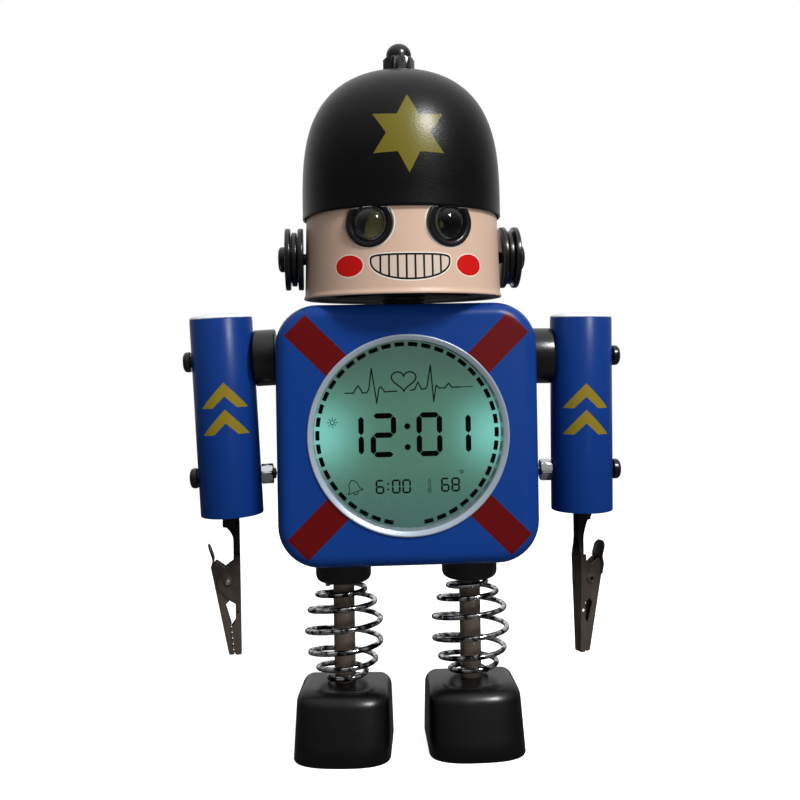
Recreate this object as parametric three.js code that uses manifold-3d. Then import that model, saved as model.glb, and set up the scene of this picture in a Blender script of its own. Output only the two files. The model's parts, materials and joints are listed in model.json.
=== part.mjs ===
// A toy robot that is an alarm clock: a tin robot with a round clock in its chest, spring legs and
// crocodile clips for hands. Millimetres, +Z up, the robot faces -Y, and its own left and right are
// named as a person facing it sees them. The origin is on the floor, under the middle of the body.
import * as THREE from 'three';
import { mergeVertices } from 'three/addons/utils/BufferGeometryUtils.js';
import Module from 'manifold-3d';

const wasm = await Module();
wasm.setup();

// ---------------------------------------------------------------- driving dimensions
const GAP = 0.3; // clearance between separate pieces
const SIDES = { left: -1, right: 1 };
const degrees = THREE.MathUtils.degToRad;

// body box
const BODY = { width: 89.5, depth: 43.2, bottom: 66, top: 155.5, corner: 14.5, edge: 5, wall: 1.6 };
const BODY_HALF = BODY.width / 2;
const BODY_MID_Z = (BODY.bottom + BODY.top) / 2;
const FRONT_Y = -BODY.depth / 2;
const REAR_Y = BODY.depth / 2;
const COVER_THICK = 1.9;

// round clock in the chest
const DIAL = { holeR: 33, flangeR: 34.3, frontR: 32.4, backR: 32.1, proud: 0.9, recess: 5.9 };
const WINDOW = { radius: 32.6, thick: 1.2 };
const LCD = { width: 66, thick: 2.8 };
const BOARD = { width: 70, height: 62, thick: 1.6, gap: 1.4 };

// head
const HEAD = { bottom: 158, brim: 186.4, topR: 34, bottomR: 35, lipR: 35.4, lipHigh: 0.9, wall: 1 };
const HEAD_TURN = 1.5; // degrees
const HELMET = { radius: 35.4, height: 52.4, wall: 0.8, sideways: 2.38, upwards: 3.36 };
const BASE_PLATE = { radius: 33.4, recess: 0.2, thick: 1.2 };
const EYE = { turn: 23, z: 181.3, bezelR: 8.1, bezelProud: 1.2, tubeR: 6.1, boreR: 5.7, lensR: 5.3 };
const EYE_LENS = { proud: 4.2, back: 27.5 };
const LAMP_CUP = { deep: 2, pinR: 2.2, pinBack: 8 };
const EAR = { z: 172.6, discR: 11, ridgeR: 9.6, hubR: 8.2, disc: 1.9, valley: 0.35, inner: 35.3 };
const EAR_SCREW = { headR: 4.5, head: 2.5, bevel: 1.5, shankR: 2, end: 28 };

// neck
const NECK_ROD_R = 3;
const NECK_COLLAR_R = 8;
const NECK_BOLT_HEAD = { hexR: 5.5, high: 4 };
const HELMET_NUT = { hexR: 5.9, hex: 5.2, domeR: 4.55, top: 249.8 };

// arms
// arm heights and drops are measured from the shoulder bolt
const ARM = { out: 19.7, radius: 11.05, wall: 1, below: 55.9, above: 13.6 };
const ARM_Z = { left: 138, right: 136.85 };
const ARM_SLIP = { left: 1, right: 0 }; // how far up the tube sits on its bolts
const ARM_LEAN = { left: 2.4, right: 0.6 };
const ARM_CAP = { plugR: 9.5, plug: 3, rim: 0.6, crown: 1.5 };
const SHOULDER = { spacerR: 10, start: 0.75, boltR: 2 };
const HAND = { drop: 41.3, boltR: 1.9, tip: 1.3 };
const PAN_HEAD = { radius: 3.6, high: 2.8 };
const NUT = { hexR: 4, thick: 4 };
const INNER_NUT = { start: 0.7, thick: 3.5, boltPast: 1.6 };

// crocodile clips
const CLIP_DROP = { left: 36.8, right: 39.4 }; // from the hand bolt to the rivet
const CLIP = { axisToPivot: 1.2, back: 4.2, tip: 26.5, sheet: 0.5 };
const CLIP_HALF = { jaw: 3, lever: 2.2 };
const CLIP_BARREL = { radius: 3, up: 4, down: 18 };
const CLIP_TURN = { left: -5, right: 22 };
const CLIP_STEM_HALF = 1.6;
const RIVET = { radius: 1.2, headR: 1.9, head: 0.6 };
const CLIP_COIL = { radius: 1.85, wire: 0.5, turns: 3.5, pitch: 0.62 };
const TEETH = { count: 5, top: -16, bottom: -26.2, topX: -0.66, bottomX: -1.6, bite: 0.35 };

// legs and feet
const LEG_X = { left: 23, right: 22.3 };
const ROD = { radius: 3.8, bottom: 10.3, top: 59.7, stemR: 1.5, headR: 3.5, head: 2.4 };
const SOCKET = { radius: 9.9, bottom: 57.7, boreR: 4.15, round: 2.5 };
const FOOT = { high: 22, halfWide: 16.75, back: 12, corner: 14, front: 24, shrink: 0.5, fillet: 4 };
const TOE_BOW = 2.6; // a superellipse exponent
const TOE_LEAN = 7; // how far the front has leaned back at the top
const FOOT_TURN = { left: 5, right: 0 };
const SPRING = { wire: 1.1, endR: 5.7, bulge: 7.5, turns: 6, bow: 1.2, bunch: 0.42 };
const SPRING_START = { left: 180, right: 10 }; // degrees

// rear face
const TRAY = { halfX: 25, low: 82, high: 110, deep: 11.8, wall: 1, lip: 2.5 };
const DOOR = { halfX: 25.6, low: 80.7, high: 111.4, thick: 1.6 };
const CELL = { radius: 5.25, length: 44.5, tipR: 1.9, tip: 0.8, pitch: 13 };
const BUTTON = { capR: 3.5, cap: 1.6, lift: 1.3, stemR: 1.5, flangeR: 3, z: 143, pitch: 14 };
const GRILLE = { z: 127, radius: 1.1, ring: 5 };
const SPEAKER = { radius: 10, thick: 6 };
const COVER_SCREW = { x: 37.5, z: 36.5, radius: 1.7 };

// ---------------------------------------------------------------- materials
const paint = (color, roughness = 0.35, metalness = 0) =>
  new THREE.MeshStandardMaterial({ color, roughness, metalness });
const BLUE = paint(0x173f8f);
const BLACK = paint(0x141416);
const SATIN_BLACK = paint(0x1b1b1d, 0.5);
const SKIN = paint(0xdcb79c, 0.4);
const WHITE = paint(0xdfe5ea, 0.3);
const SILVER = paint(0xc4ccd2, 0.3, 0.8);
const CHROME = paint(0xd0d2d4, 0.12, 1);
const NICKEL = paint(0x5a5148, 0.3, 1);
const CLEAR = paint(0xeef4f2, 0.05);
const LAMP = paint(0xb9ad4a, 0.4);
const SCREEN = paint(0x79aa98, 0.3);
const GREEN_BOARD = paint(0x1f5a34, 0.6);
const CELL_SKIN = paint(0x3a6a3c, 0.4);
const DARK_PLASTIC = paint(0x26272a, 0.6);

// ---------------------------------------------------------------- shape helpers
// A closed surface as a solid: only positions, shared corners merged, faces outward.
function solid(geometry) {
  const bare = geometry.clone();
  bare.deleteAttribute('normal');
  bare.deleteAttribute('uv');
  const merged = mergeVertices(bare, 1e-4);
  const position = merged.attributes.position;
  const corners = [];
  for (let i = 0; i < merged.index.count; i += 3) {
    const triangle = [0, 1, 2].map((k) => merged.index.getX(i + k));
    if (new Set(triangle).size === 3) corners.push(...triangle);
  }
  if (signedVolume(position, corners) < 0) corners.reverse();
  const triVerts = new Uint32Array(corners);
  return new wasm.Manifold(new wasm.Mesh({ numProp: 3, vertProperties: position.array, triVerts }));
}

function signedVolume(position, corners) {
  const [a, b, c] = [new THREE.Vector3(), new THREE.Vector3(), new THREE.Vector3()];
  let six = 0;
  for (let i = 0; i < corners.length; i += 3) {
    a.fromBufferAttribute(position, corners[i]);
    b.fromBufferAttribute(position, corners[i + 1]);
    c.fromBufferAttribute(position, corners[i + 2]);
    six += a.dot(b.cross(c));
  }
  return six;
}

function mesh(name, shape, material) {
  const out = shape.getMesh();
  const geometry = new THREE.BufferGeometry();
  geometry.setAttribute('position', new THREE.BufferAttribute(out.vertProperties, 3));
  geometry.setIndex(new THREE.BufferAttribute(out.triVerts, 1));
  geometry.computeVertexNormals();
  const made = new THREE.Mesh(geometry, material);
  made.name = name;
  return made;
}

const AXIS_TURN = {
  x: new THREE.Matrix4().makeRotationZ(-Math.PI / 2),
  y: new THREE.Matrix4(),
  z: new THREE.Matrix4().makeRotationX(Math.PI / 2),
};

// A turned shape: its profile is a list of [radius, height] along the named axis.
function turned(profile, axis = 'z', segments = 20) {
  const points = profile.map(([r, h]) => new THREE.Vector2(r, h));
  return solid(new THREE.LatheGeometry(points, segments).applyMatrix4(AXIS_TURN[axis]));
}

// A ring's profile closes on itself.
const ring = (profile, axis, segments) => turned([...profile, profile[0]], axis, segments);

function rod(radius, from, to, axis = 'z', segments = 12) {
  return turned([[0, from], [radius, from], [radius, to], [0, to]], axis, segments);
}

function tube(outer, inner, from, to, axis = 'z', segments = 20) {
  return ring([[inner, from], [outer, from], [outer, to], [inner, to]], axis, segments);
}

function box(x0, x1, y0, y1, z0, z1) {
  const block = new THREE.BoxGeometry(x1 - x0, y1 - y0, z1 - z0);
  return solid(block.translate((x0 + x1) / 2, (y0 + y1) / 2, (z0 + z1) / 2));
}

// A plate whose outline lies in the XZ plane, from y0 to y1.
function plate(outline, y0, y1) {
  const shape = new THREE.Shape(outline.map(([x, z]) => new THREE.Vector2(x, z)));
  const slab = new THREE.ExtrudeGeometry(shape, { depth: y1 - y0, bevelEnabled: false });
  return solid(slab.rotateX(Math.PI / 2).translate(0, y1, 0));
}

// A skin over outlines that all have the same number of points, closed at both ends.
function loft(outlines) {
  const count = outlines[0].length;
  const positions = outlines.flat().flatMap((p) => [p.x, p.y, p.z]);
  const index = [];
  for (let s = 0; s + 1 < outlines.length; s += 1) {
    for (let i = 0; i < count; i += 1) {
      const [a, b] = [s * count + i, s * count + ((i + 1) % count)];
      index.push(a, b, b + count, a, b + count, a + count);
    }
  }
  const last = (outlines.length - 1) * count;
  for (let i = 1; i + 1 < count; i += 1) {
    index.push(0, i + 1, i);
    index.push(last, last + i, last + i + 1);
  }
  const geometry = new THREE.BufferGeometry();
  geometry.setAttribute('position', new THREE.Float32BufferAttribute(positions, 3));
  geometry.setIndex(index);
  return solid(geometry);
}

// A square with round corners in the plane y, round the middle of the body.
function bodyOutline(y, inset, corner) {
  const steps = 4;
  const radius = Math.max(corner - inset, 0.5);
  const reach = BODY_HALF - inset - radius;
  const points = [];
  for (let quarter = 0; quarter < 4; quarter += 1) {
    for (let i = 0; i <= steps; i += 1) {
      const angle = (quarter + i / steps) * (Math.PI / 2);
      const sideX = quarter === 0 || quarter === 3 ? 1 : -1;
      const sideZ = quarter < 2 ? 1 : -1;
      const x = sideX * reach + radius * Math.cos(angle);
      const z = BODY_MID_Z + sideZ * reach + radius * Math.sin(angle);
      points.push(new THREE.Vector3(x, y, z));
    }
  }
  return points;
}

// The body block from its rounded front edge back to y, drawn in by inset all round.
function bodyBlock(inset, backY) {
  const steps = 4;
  const edge = BODY.edge - inset;
  const outlines = [];
  for (let i = 0; i <= steps; i += 1) {
    const angle = (i / steps) * (Math.PI / 2);
    const y = FRONT_Y + inset + edge * (1 - Math.sin(angle));
    outlines.push(bodyOutline(y, inset + edge * (1 - Math.cos(angle)), BODY.corner));
  }
  outlines.reverse();
  outlines.push(bodyOutline(backY, inset, BODY.corner));
  return loft(outlines);
}

const cut = (shape, ...tools) => tools.reduce((rest, tool) => rest.subtract(tool), shape);
const join = (shape, ...others) => others.reduce((whole, other) => whole.add(other), shape);

// Turns a shape from the forward direction -Y to an azimuth, positive to +X.
const facing = (shape, azimuth) => shape.rotate([0, 0, azimuth]);

function at(object, x, y, z) {
  object.position.set(x, y, z);
  return object;
}

// ---------------------------------------------------------------- head
function helmetCurve(inset) {
  const steps = 7;
  const points = [];
  for (let i = 0; i <= steps; i += 1) {
    const angle = (i / steps) * (Math.PI / 2);
    const r = (HELMET.radius - inset) * Math.cos(angle) ** (2 / HELMET.sideways);
    const h = (HELMET.height - inset) * Math.sin(angle) ** (2 / HELMET.upwards);
    if (r > NECK_ROD_R + GAP) points.push([r, HEAD.brim + h]);
  }
  points.push([NECK_ROD_R + GAP, HEAD.brim + HELMET.height - inset]);
  return points;
}

function helmet() {
  const profile = [...helmetCurve(0), ...helmetCurve(HELMET.wall).reverse()];
  return mesh('helmet', ring(profile, 'z', 28), BLACK);
}

// A round rod or cutter that points out of the head at an eye.
function eyeRod(radius, from, to, azimuth) {
  const straight = rod(radius, -to, -from, 'y', 16);
  return facing(straight.translate([0, 0, EYE.z]), azimuth);
}

function faceBand() {
  const inside = HEAD.topR - HEAD.wall;
  const profile = [
    [inside, HEAD.brim + 4],
    [inside + 0.8, HEAD.bottom + HEAD.lipHigh],
    [inside + 0.8, HEAD.bottom],
    [HEAD.lipR, HEAD.bottom],
    [HEAD.lipR, HEAD.bottom + HEAD.lipHigh],
    [HEAD.bottomR, HEAD.bottom + 2 * HEAD.lipHigh],
    [HEAD.topR, HEAD.brim],
    [HEAD.topR, HEAD.brim + 4],
  ];
  const eyes = Object.values(SIDES).map((side) => eyeRod(EYE.tubeR + GAP, 25, 40, side * EYE.turn));
  const earHole = rod(EAR_SCREW.shankR + GAP, -40, 40, 'x').translate([0, 0, EAR.z]);
  return mesh('face_band', cut(ring(profile, 'z', 32), ...eyes, earHole), SKIN);
}

function headBasePlate() {
  const low = HEAD.bottom + BASE_PLATE.recess;
  const disc = tube(BASE_PLATE.radius, NECK_ROD_R + GAP, low, low + BASE_PLATE.thick, 'z', 32);
  return mesh('head_base_plate', disc, SATIN_BLACK);
}

function eye(name, side) {
  const turn = side * EYE.turn;
  const front = HEAD.topR + EYE.bezelProud;
  const flange = eyeRod(EYE.bezelR, HEAD.topR - 3, front, turn);
  const faceSolid = turned([
    [0, HEAD.bottom], [HEAD.bottomR + GAP, HEAD.bottom + 2 * HEAD.lipHigh],
    [HEAD.topR + GAP, HEAD.brim], [HEAD.topR + GAP, HEAD.brim + 4], [0, HEAD.brim + 4],
  ], 'z', 32);
  const wide = 2 * HEAD.topR;
  const brimRoom = tube(wide, HEAD.topR - GAP, HEAD.brim - 0.4, HEAD.brim + 10, 'z', 32);
  const collar = cut(flange, faceSolid);
  const barrel = eyeRod(EYE.tubeR, EYE_LENS.back - 2, HEAD.topR + GAP + 0.2, turn);
  const bore = eyeRod(EYE.boreR, 20, 45, turn);
  const dome = [];
  const steps = 4;
  for (let i = 0; i <= steps; i += 1) {
    const angle = (i / steps) * (Math.PI / 2);
    dome.push([EYE.lensR * Math.cos(angle), -(HEAD.topR + EYE_LENS.proud * Math.sin(angle))]);
  }
  const lensProfile = [[0, -EYE_LENS.back], [EYE.lensR, -EYE_LENS.back], ...dome];
  lensProfile[lensProfile.length - 1][0] = 0;
  const lens = facing(turned(lensProfile, 'y', 16).translate([0, 0, EYE.z]), turn);
  const cupFront = EYE_LENS.back - GAP;
  const cup = join(
    eyeRod(EYE.lensR, cupFront - LAMP_CUP.deep, cupFront, turn),
    eyeRod(LAMP_CUP.pinR, EYE_LENS.back - LAMP_CUP.pinBack, cupFront - 1, turn),
  );
  return [
    mesh(`eye_bezel_${name}`, cut(join(collar, barrel), bore, brimRoom), BLACK),
    mesh(`eye_lens_${name}`, lens, CLEAR),
    mesh(`eye_led_${name}`, cup, LAMP),
  ];
}

// Three discs on one hub, with a cheese-headed screw that holds them to the side of the head.
function ear(name, side) {
  const { discR, ridgeR, hubR, disc, valley, inner } = EAR;
  const bore = EAR_SCREW.shankR + GAP;
  const outer = inner + 3 * disc + 2 * valley;
  const levels = [
    [discR, inner, inner + disc],
    [hubR, inner + disc, inner + disc + valley],
    [ridgeR, inner + disc + valley, inner + 2 * disc + valley],
    [hubR, inner + 2 * disc + valley, inner + 2 * disc + 2 * valley],
    [discR, outer - disc, outer],
  ];
  const profile = [[bore, inner]];
  levels.forEach(([r, from, to]) => profile.push([r, from], [r, to]));
  profile.push([bore, outer]);
  const headFrom = outer + GAP;
  const headTo = headFrom + EAR_SCREW.head;
  const head = turned(
    [[0, headFrom], [EAR_SCREW.headR, headFrom], [EAR_SCREW.headR, headTo - EAR_SCREW.bevel],
      [EAR_SCREW.headR - EAR_SCREW.bevel, headTo], [0, headTo]], 'x', 16);
  const screw = join(head, rod(EAR_SCREW.shankR, EAR_SCREW.end, headFrom + 1, 'x'));
  const group = new THREE.Group();
  group.add(mesh(`ear_disc_${name}`, ring(profile, 'x', 20), BLACK));
  group.add(mesh(`ear_screw_${name}`, screw, BLACK));
  group.rotation.z = side < 0 ? Math.PI : 0;
  return at(group, 0, 0, EAR.z);
}

function neck() {
  const nutBase = HEAD.brim + HELMET.height + GAP;
  const hexTop = nutBase + HELMET_NUT.hex;
  const dome = [[HELMET_NUT.domeR, hexTop - 0.5]];
  const steps = 5;
  for (let i = 0; i <= steps; i += 1) {
    const angle = (i / steps) * (Math.PI / 2);
    const high = hexTop + 1 + (HELMET_NUT.top - hexTop - 1) * Math.sin(angle);
    dome.push([i === steps ? 0 : HELMET_NUT.domeR * Math.cos(angle), high]);
  }
  const rodTop = hexTop + 1;
  const nutBore = rod(NECK_ROD_R + GAP, nutBase - 1, rodTop + GAP);
  const hexagon = rod(HELMET_NUT.hexR, nutBase, hexTop, 'z', 6);
  const nut = cut(join(hexagon, turned([[0, hexTop - 0.5], ...dome], 'z', 24)), nutBore);
  const headTop = BODY.top - BODY.wall - GAP;
  const boltHead = rod(NECK_BOLT_HEAD.hexR, headTop - NECK_BOLT_HEAD.high, headTop, 'z', 6);
  const bolt = join(rod(NECK_ROD_R, headTop - 1, rodTop), boltHead);
  const collarTop = HEAD.bottom + BASE_PLATE.recess - GAP;
  const collar = tube(NECK_COLLAR_R, NECK_ROD_R + GAP, BODY.top + GAP, collarTop);
  return [
    mesh('helmet_nut', nut, BLACK),
    mesh('neck_rod', bolt, CHROME),
    mesh('neck_collar', collar, SATIN_BLACK),
  ];
}

// ---------------------------------------------------------------- body
function frontShell() {
  const coverY = REAR_Y - COVER_THICK - GAP;
  const block = bodyBlock(0, coverY);
  const hollow = bodyBlock(BODY.wall, coverY + 1);
  const dial = rod(DIAL.holeR, FRONT_Y - 1, FRONT_Y + BODY.wall + 1, 'y', 36)
    .translate([0, 0, BODY_MID_Z]);
  const neckHole = rod(NECK_ROD_R + GAP, BODY.top - 3, BODY.top + 1);
  const armHoles = Object.entries(SIDES).map(([name, side]) =>
    rod(SHOULDER.boltR + 2 * GAP, -3, 3, 'x').translate([side * BODY_HALF, 0, ARM_Z[name]]));
  const legHoles = Object.entries(SIDES).map(([name, side]) =>
    rod(ROD.stemR + GAP, BODY.bottom - 1, BODY.bottom + 3).translate([side * LEG_X[name], 0, 0]));
  const shell = cut(block, hollow, dial, neckHole, ...armHoles, ...legHoles);
  return mesh('front_shell', shell, BLUE);
}

function clockFace() {
  const front = FRONT_Y - DIAL.proud;
  const back = FRONT_Y + DIAL.recess;
  const seat = FRONT_Y - GAP;
  const bezel = ring([
    [DIAL.frontR, front], [DIAL.flangeR - 0.5, front], [DIAL.flangeR, front + 0.4],
    [DIAL.flangeR, seat], [DIAL.holeR - GAP, seat], [DIAL.holeR - GAP, back], [DIAL.backR, back],
  ], 'y', 36);
  const windowY = back + GAP;
  const lcdY = windowY + WINDOW.thick + GAP;
  const boardY = lcdY + LCD.thick + BOARD.gap;
  const centred = (shape) => shape.translate([0, 0, BODY_MID_Z]);
  const half = LCD.width / 2;
  const window = rod(WINDOW.radius, windowY, windowY + WINDOW.thick, 'y', 28);
  const lcd = box(-half, half, lcdY, lcdY + LCD.thick, -half, half);
  const boardBack = boardY + BOARD.thick;
  const [bx, bz] = [BOARD.width / 2, BOARD.height / 2];
  const board = join(
    box(-bx, bx, boardY, boardBack, -bz, bz),
    // chips
    box(-7, 7, boardBack - 0.1, boardBack + 2, -9, 5),
    box(14, 20, boardBack - 0.1, boardBack + 3, -4, 8),
    box(-22, -16, boardBack - 0.1, boardBack + 2.4, 2, 8),
  );
  return [
    mesh('display_bezel', centred(bezel), SILVER),
    mesh('display_window', centred(window), CLEAR),
    mesh('lcd_panel', centred(lcd), SCREEN),
    mesh('circuit_board', centred(board), GREEN_BOARD),
  ];
}

function rearCover() {
  const inner = REAR_Y - COVER_THICK;
  const outlines = [[inner, 0], [REAR_Y - 1, 0], [REAR_Y, 1]];
  const panel = loft(outlines.map(([y, inset]) => bodyOutline(y, inset, BODY.corner)).reverse());
  const { halfX, low, high, deep, wall, lip } = TRAY;
  const floor = inner - deep;
  const traySides = box(-halfX - lip, halfX + lip, floor - wall, inner + 0.3, low - lip, high + lip);
  const well = box(-halfX, halfX, floor, REAR_Y + 1, low, high);
  const recessX = DOOR.halfX + 0.4;
  const doorRecess = box(-recessX, recessX, inner, REAR_Y + 1, DOOR.low - 0.5, DOOR.high + 0.4);
  const cover = cut(join(panel, traySides), well, doorRecess, ...rearHoles(inner));
  return mesh('rear_cover', cover, DARK_PLASTIC);
}

function rearHoles(inner) {
  const hole = (radius, x, z) => rod(radius, inner - 2, REAR_Y + 1, 'y', 12).translate([x, 0, z]);
  const buttons = buttonPlaces().map((x) => hole(BUTTON.stemR + GAP, x, BUTTON.z));
  const grille = [hole(GRILLE.radius, 0, GRILLE.z)];
  for (let i = 0; i < 6; i += 1) {
    const angle = i * (Math.PI / 3);
    const [x, z] = [GRILLE.ring * Math.cos(angle), GRILLE.z + GRILLE.ring * Math.sin(angle)];
    grille.push(hole(GRILLE.radius, x, z));
  }
  const screws = [];
  [-1, 1].forEach((sx) => [-1, 1].forEach((sz) => {
    screws.push(hole(COVER_SCREW.radius, sx * COVER_SCREW.x, BODY_MID_Z + sz * COVER_SCREW.z));
  }));
  return [...buttons, ...grille, ...screws];
}

const buttonPlaces = () => [-1.5, -0.5, 0.5, 1.5].map((step) => step * BUTTON.pitch);

function buttons() {
  const inner = REAR_Y - COVER_THICK;
  return buttonPlaces().map((x, i) => {
    const stem = rod(BUTTON.stemR, inner - 1.6, REAR_Y + BUTTON.lift + 0.5, 'y');
    const flange = rod(BUTTON.flangeR, inner - GAP - 1.2, inner - GAP, 'y');
    const capFrom = REAR_Y + BUTTON.lift;
    const cap = rod(BUTTON.capR, capFrom, capFrom + BUTTON.cap, 'y', 20);
    const whole = join(stem, flange, cap).translate([x, 0, BUTTON.z]);
    return mesh(`button_${i + 1}`, whole, BLACK);
  });
}

// The door's lower edge is round about its hinge line, so it turns in its recess.
function batteryDoor() {
  const radius = DOOR.thick / 2;
  const backY = REAR_Y - radius;
  const slab = box(-DOOR.halfX, DOOR.halfX, REAR_Y - DOOR.thick, REAR_Y, DOOR.low + radius, DOOR.high);
  const roll = rod(radius, -DOOR.halfX, DOOR.halfX, 'x', 16).translate([0, backY, DOOR.low + radius]);
  return mesh('battery_door', join(slab, roll), DARK_PLASTIC);
}

function batteries() {
  const middle = (TRAY.low + TRAY.high) / 2;
  const y = REAR_Y - COVER_THICK - TRAY.deep / 2;
  return [-0.5, 0.5].map((step, i) => {
    const half = CELL.length / 2;
    const cell = turned([
      [0, -half], [CELL.radius, -half], [CELL.radius, half - CELL.tip], [CELL.tipR, half - CELL.tip],
      [CELL.tipR, half], [0, half],
    ], 'x', 20).rotate([0, 0, i * 180]);
    return mesh(`battery_${i + 1}`, cell.translate([0, y, middle + step * CELL.pitch]), CELL_SKIN);
  });
}

function speaker() {
  const back = REAR_Y - COVER_THICK - GAP;
  const can = rod(SPEAKER.radius, back - SPEAKER.thick, back, 'y', 20);
  const mouth = rod(SPEAKER.radius - 1.5, back - 1.2, back + 1, 'y', 20);
  return mesh('speaker', cut(can, mouth).translate([0, 0, GRILLE.z]), BLACK);
}

// ---------------------------------------------------------------- arms
// Inside an arm's group x runs outward from the body's side and z = 0 is the shoulder axis.
function panHead(from) {
  const { radius, high } = PAN_HEAD;
  return turned([[0, from], [radius, from], [radius, from + high - 1.3],
    [radius - 0.9, from + high - 0.3], [0, from + high]], 'x', 12);
}

function arm(name, side) {
  const { out, radius, wall } = ARM;
  const [low, high] = [ARM_SLIP[name] - ARM.below, ARM_SLIP[name] + ARM.above];
  const handZ = -HAND.drop;
  const nearSide = out - radius;
  const farSide = out + radius;
  const spacer = tube(SHOULDER.spacerR, SHOULDER.boltR + GAP, SHOULDER.start, nearSide - GAP, 'x');
  const nutStart = -BODY.wall - INNER_NUT.start;
  const boltEnd = nutStart - INNER_NUT.thick - INNER_NUT.boltPast;
  const bolt = join(panHead(farSide + GAP), rod(SHOULDER.boltR, boltEnd, farSide + 1, 'x'));
  const innerNut = cut(
    rod(NUT.hexR, nutStart - INNER_NUT.thick, nutStart, 'x', 6),
    rod(SHOULDER.boltR + GAP, -20, 5, 'x'),
  );
  const holes = [
    rod(SHOULDER.boltR + GAP, 0, farSide + 2, 'x'),
    rod(HAND.boltR + GAP, 0, farSide + 2, 'x').translate([0, 0, handZ]),
  ];
  const sleeve = cut(tube(radius, radius - wall, low, high).translate([out, 0, 0]), ...holes);
  const crown = [];
  const steps = 3;
  for (let i = 0; i <= steps; i += 1) {
    const angle = (i / steps) * (Math.PI / 2);
    crown.push([radius * Math.cos(angle), high + GAP + ARM_CAP.rim + ARM_CAP.crown * Math.sin(angle)]);
  }
  crown[steps][0] = 0;
  const capProfile = [
    [0, high - ARM_CAP.plug], [ARM_CAP.plugR, high - ARM_CAP.plug], [ARM_CAP.plugR, high + GAP],
    [radius, high + GAP], ...crown,
  ];
  const cap = turned(capProfile, 'z', 20).translate([out, 0, 0]);
  const nutTo = nearSide - GAP;
  const handNut = cut(
    rod(NUT.hexR, nutTo - NUT.thick, nutTo, 'x', 6),
    rod(HAND.boltR + GAP, 0, 20, 'x'),
  ).translate([0, 0, handZ]);
  const shankFrom = nutTo - NUT.thick - HAND.tip;
  const handBolt = join(panHead(farSide + GAP), rod(HAND.boltR, shankFrom, farSide + 1, 'x'));
  const group = new THREE.Group();
  group.add(mesh(`shoulder_spacer_${name}`, spacer, SATIN_BLACK));
  group.add(mesh(`shoulder_bolt_${name}`, bolt, BLACK));
  group.add(mesh(`shoulder_nut_${name}`, innerNut, CHROME));
  group.add(mesh(`arm_tube_${name}`, sleeve, BLUE));
  group.add(mesh(`arm_cap_${name}`, cap, WHITE));
  group.add(mesh(`hand_bolt_${name}`, handBolt.translate([0, 0, handZ]), BLACK));
  group.add(mesh(`hand_nut_${name}`, handNut, CHROME));
  // A half turn about Z mirrors the arm, which is the same front and back, and then it leans in.
  const lean = new THREE.Group();
  lean.rotation.y = side * degrees(ARM_LEAN[name]);
  group.rotation.z = side < 0 ? Math.PI : 0;
  lean.add(group);
  return at(lean, side * BODY_HALF, 0, ARM_Z[name]);
}

// ---------------------------------------------------------------- clips
// Inside a clip x runs outward, z = 0 is the rivet, and the fixed jaw's back is at x = -CLIP.back.
function toothLine(offset) {
  const { count, top, bottom, topX, bottomX, bite } = TEETH;
  const points = [];
  for (let i = 0; i <= 2 * count; i += 1) {
    const along = i / (2 * count);
    const side = i % 2 === 0 ? -bite : bite;
    points.push([topX + (bottomX - topX) * along + side + offset, top + (bottom - top) * along]);
  }
  return points;
}

function jawOutline() {
  return [
    [-CLIP.back, -CLIP.tip], [-CLIP.back, 9], [-1.9, 9], [-1.9, 6.6], [0.9, 4.6], [3.2, 3], [4, 0],
    [3.2, -2.6], [2.1, -3.9], [0.3, -6.2], [-0.66, -7.2], [-2.4, -8.2], [-2.3, -14.5],
    ...toothLine(-GAP / 2), [-2.1, -CLIP.tip],
  ];
}

function leverOutline() {
  return [
    [6.1, 5.2], [0.2, -CLIP.tip], [-1.3, -CLIP.tip], ...toothLine(GAP / 2).reverse(),
    [1.25, -8.7], [-0.4, -7], [-1.9, -3.5], [-2.5, 0], [-1.8, 2.5], [0.95, 4.7], [4.1, 7],
  ];
}

function pairOfCheeks(outline, half) {
  return join(plate(outline, half - CLIP.sheet, half), plate(outline, -half, CLIP.sheet - half));
}

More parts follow.
